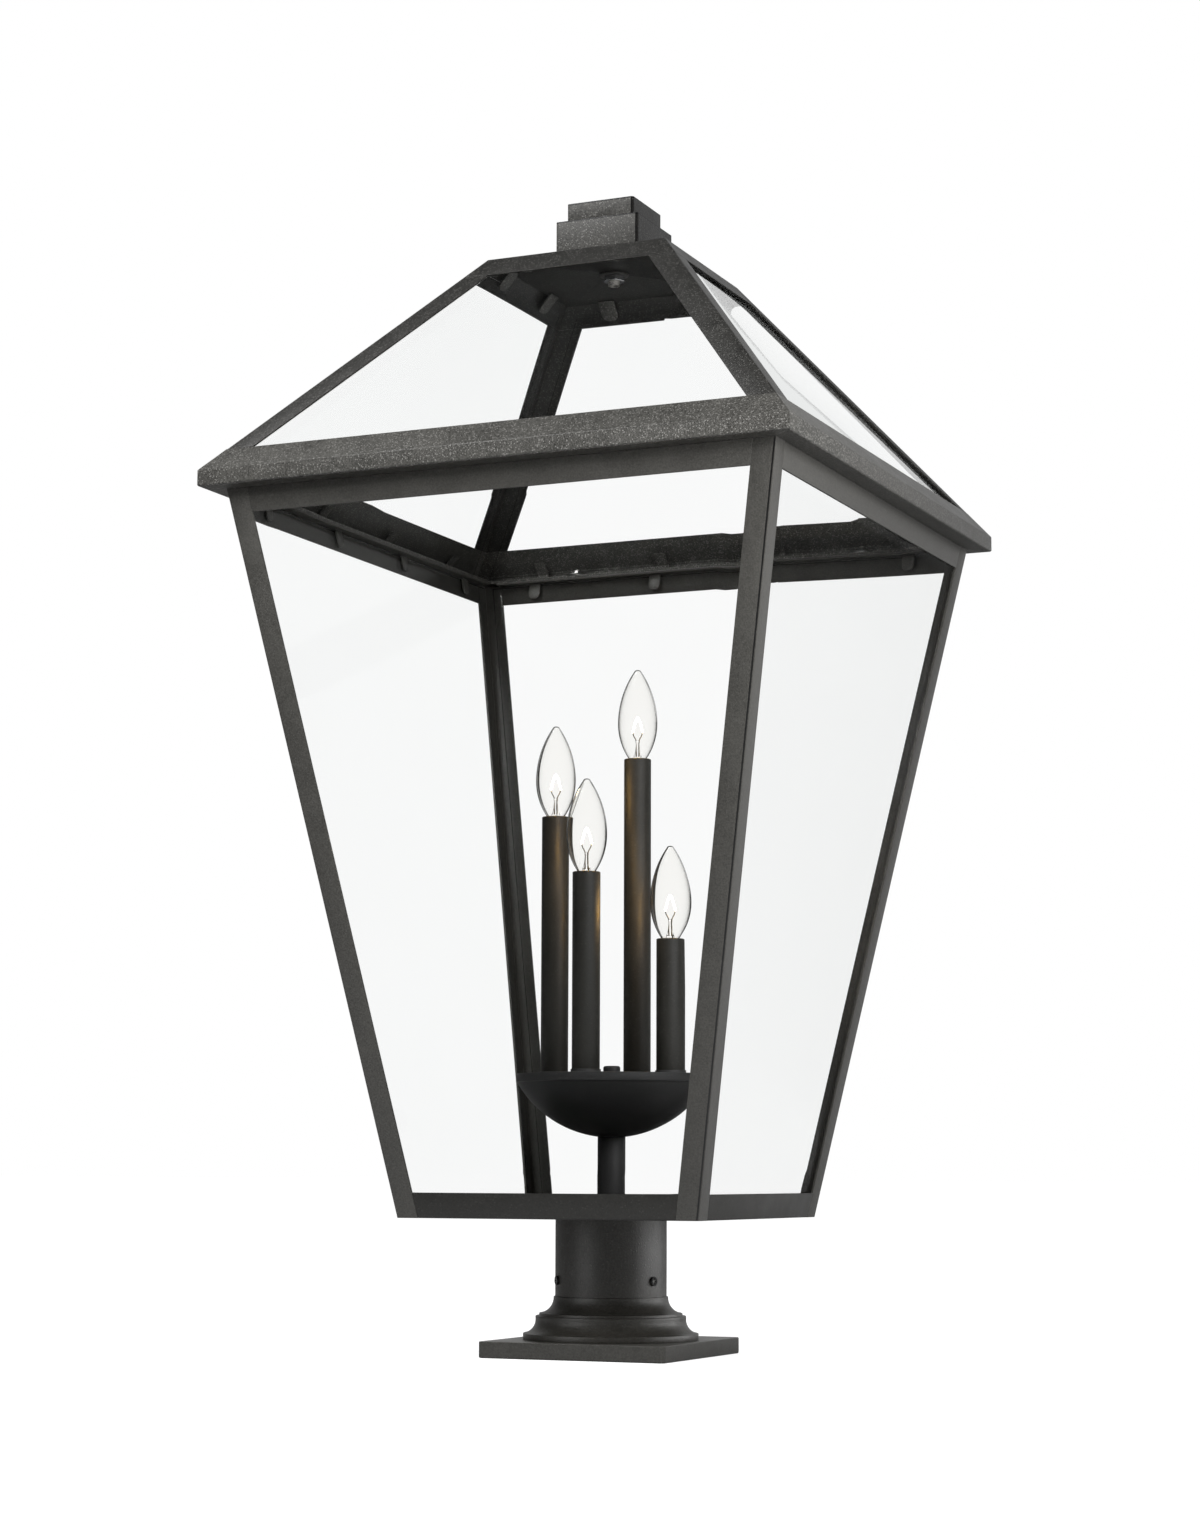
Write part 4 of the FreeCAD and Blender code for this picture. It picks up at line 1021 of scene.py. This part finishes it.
# The floor looks white through painted light, dimmer near the object and full from 1.5 m out, so the cast
# shadow shows. In rough reflections only its right-hand part shows.
def makeFloor():
    material, tree, shader = newMaterial("paleFloor")
    shader.inputs["Base Color"].default_value = (*[floorLook["colour"]] * 3, 1)
    shader.inputs["Roughness"].default_value = floorLook["roughness"]
    shader.inputs["Specular IOR Level"].default_value = floorLook["shine"]
    lift = addNode(tree, "ShaderNodeEmission", {"Color": (1, 1, 1, 1)})
    seen, path = seenDirectly(tree)
    place = addNode(tree, "ShaderNodeTexCoord")
    away = addNode(tree, "ShaderNodeVectorMath", operation="LENGTH")
    join(tree, place, "Object", away, 0)
    # Painted light: the floor's own white is 0.74 near the object and full from 1.5 m out
    fade = remap(tree, away.outputs["Value"], *floorLook["fade"])
    split = addNode(tree, "ShaderNodeSeparateXYZ")
    join(tree, place, "Object", split, "Vector")
    rightward = remap(tree, split.outputs["X"], *floorLook["mirroredFrom"], 0.0, room["reflectedBackdrop"])
    glossy, sharp = path.outputs["Is Glossy Ray"], path.outputs["Is Singular Ray"]
    rough = mathNode(tree, "SUBTRACT", glossy, sharp, clamp=True)
    shown = mathNode(tree, "MAXIMUM", seen, mathNode(tree, "MULTIPLY", rough, rightward))
    tree.links.new(mathNode(tree, "MULTIPLY", shown, fade), lift.inputs["Strength"])
    total = addNode(tree, "ShaderNodeAddShader")
    tree.links.new(shader.outputs[0], total.inputs[0])
    tree.links.new(lift.outputs[0], total.inputs[1])
    tree.links.new(total.outputs[0], tree.nodes["Material Output"].inputs["Surface"])
    mesh = bmesh.new()
    bmesh.ops.create_grid(mesh, x_segments=1, y_segments=1, size=floorLook["size"])
    placeMesh("floor", mesh, material)


# The room looks white and lights softly from all sides. In reflections it is dim, but for the backdrop.
def makeWorld():
    world = bpy.data.worlds.new("studio")
    bpy.context.scene.world = world
    world.use_nodes = True
    tree = world.node_tree
    sky = tree.nodes["Background"]
    sky.inputs["Color"].default_value = (1, 1, 1, 1)
    seen, path = seenDirectly(tree)
    way = addNode(tree, "ShaderNodeTexCoord")
    split = addNode(tree, "ShaderNodeSeparateXYZ")
    join(tree, way, "Generated", split, "Vector")
    behind = remap(tree, split.outputs["Y"], *room["backdropEdge"])
    low = remap(tree, split.outputs["Z"], *room["backdropHead"], 1.0, 0.0)
    backdrop = mathNode(tree, "MULTIPLY", behind, low)
    mirrored = remap(tree, backdrop, 0.0, 1.0, room["reflectedLight"], room["reflectedBackdrop"])
    horizon = remap(tree, split.outputs["Z"], *room["paneHorizon"])
    inPanes = mathNode(tree, "MULTIPLY", backdrop, horizon)
    inPanes = remap(tree, inPanes, 0.0, 1.0, room["reflectedLight"], room["paneBackdrop"])
    mirrored = mixValue(tree, path.outputs["Is Singular Ray"], mirrored, inPanes)
    glossy = mixValue(tree, path.outputs["Is Glossy Ray"], room["softLight"], mirrored)
    tree.links.new(mixValue(tree, seen, glossy, 1.0), sky.inputs["Strength"])


# Turn from the front toward +X in degrees, distance from the axis, height above the floor,
# width and height of the lamp in metres, power in watts
lamps = {
    "sideLamp": dict(turn=56, distance=1.05, height=0.72, size=(0.5, 0.5), power=17.5, mirrored=False),
    "rimLamp": dict(turn=112, distance=0.8, height=0.15, size=(0.9, 0.4), power=4.2, mirrored=True),
    "bandLamp": dict(turn=-30, distance=1.2, height=0.3, size=(0.6, 0.5), power=3.0, mirrored=True),
    "sheenLamp": dict(turn=56, distance=1.05, height=0.72, size=(0.5, 0.5), power=14.0, mirrored=True),
    "edgeLamp": dict(turn=-35, distance=1.3, height=2.0, size=(0.5, 0.5), power=12.5, mirrored=True),
    "frontLamp": dict(turn=-24, distance=1.25, height=1.32, size=(0.7, 0.7), power=25.0, mirrored=False),
    "topLamp": dict(turn=-100, distance=1.7, height=1.8, size=(0.9, 0.9), power=26.0, mirrored=False),
    "backLamp": dict(turn=170, distance=1.8, height=0.8, size=(1.0, 1.0), power=14.0, mirrored=False),
}
bulbLight = {"power": 0.21, "colour": (1.0, 0.54, 0.1), "size": 0.004, "rise": 0.029}
panes = [f"{kind}_pane_{side}" for kind in ("side", "roof") for side in sides]
cluster = [f"candle_sleeve_{candle}" for candle in candles]
cluster += ["bowl", "bowl_cover", "cluster_knob", "stem_tube"]


# The pieces that a lamp reaches alone, or leaves out
def makeLinks(name, pieces, state):
    collection = bpy.data.collections.new(name)
    for piece in pieces:
        collection.objects.link(nodes[piece])
    for item in collection.collection_objects:
        item.light_linking.link_state = state
    return collection


def placeAround(turn, distance, height):
    return Vector((math.sin(turn), -math.cos(turn), 0)) * distance + Vector((0, 0, height))


# The panes show no lamp in them.
def makeLamps():
    middle = Vector((0, 0, (cadLow.z + cadHigh.z) / 2))
    clearPanes = makeLinks("clearPanes", panes, "EXCLUDE")
    clearCap = makeLinks("clearCap", panes + ["cap_lower", "cap_upper"], "EXCLUDE")
    baseShine = makeLinks("baseShine", ["neck", "pier_base_moulding"], "INCLUDE")
    clusterShine = makeLinks("clusterShine", cluster, "INCLUDE")
    receivers = {"sideLamp": clearCap, "rimLamp": baseShine, "bandLamp": baseShine, "sheenLamp": clusterShine}
    for name, look in lamps.items():
        light = bpy.data.lights.new(name, "AREA")
        light.shape = "RECTANGLE"
        light.size, light.size_y = look["size"]
        light.energy = look["power"]
        lamp = bpy.data.objects.new(name, light)
        lamp.location = placeAround(math.radians(look["turn"]), look["distance"], look["height"])
        lamp.rotation_euler = (middle - lamp.location).to_track_quat("-Z", "Y").to_euler()
        lamp.visible_transmission = False
        lamp.visible_glossy = look["mirrored"]
        lamp.visible_camera = False
        lamp.light_linking.receiver_collection = receivers.get(name, clearPanes)
        bpy.context.scene.collection.objects.link(lamp)
    for candle in candles:
        light = bpy.data.lights.new(f"bulbLight_{candle}", "POINT")
        light.energy = bulbLight["power"]
        light.color = bulbLight["colour"]
        light.shadow_soft_size = bulbLight["size"]
        spot = bpy.data.objects.new(f"bulbLight_{candle}", light)
        spot.location = sleeveTop(candle) + Vector((0, 0, bulbLight["rise"]))
        spot.light_linking.receiver_collection = clusterShine
        bpy.context.scene.collection.objects.link(spot)
        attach(spot, f"{candle}_bulb")


camera = {
    "turn": math.radians(24.03),
    "lift": math.radians(7.477),
    "roll": math.radians(0.218),
    "distance": 2.628,
    "sideStep": -0.0107,
    "height": 0.152,
    "lens": 74.59,
    "reach": 100,
}


def makeCamera():
    turn, lift, roll = camera["turn"], camera["lift"], camera["roll"]
    right = Vector((math.cos(turn), math.sin(turn), 0))
    forward = Vector((-math.sin(turn) * math.cos(lift), math.cos(turn) * math.cos(lift), math.sin(lift)))
    up = right.cross(forward)
    across = right * math.cos(roll) + up * math.sin(roll)
    above = up * math.cos(roll) - right * math.sin(roll)
    data = bpy.data.cameras.new("camera")
    data.lens = camera["lens"]
    data.clip_end = camera["reach"]
    item = bpy.data.objects.new("camera", data)
    item.matrix_world = Matrix((across, above, -forward)).transposed().to_4x4()
    item.location = placeAround(turn, camera["distance"], camera["height"]) + right * camera["sideStep"]
    bpy.context.scene.collection.objects.link(item)
    bpy.context.scene.camera = item


bpy.context.scene.view_settings.view_transform = "Standard"
makeCamera()
makeWorld()
makeFloor()
makeLamps()
print("stage made")
dressFrame()
dressBase()
dressCluster()
dressFasteners()
makeBulbs()
print("scene made")
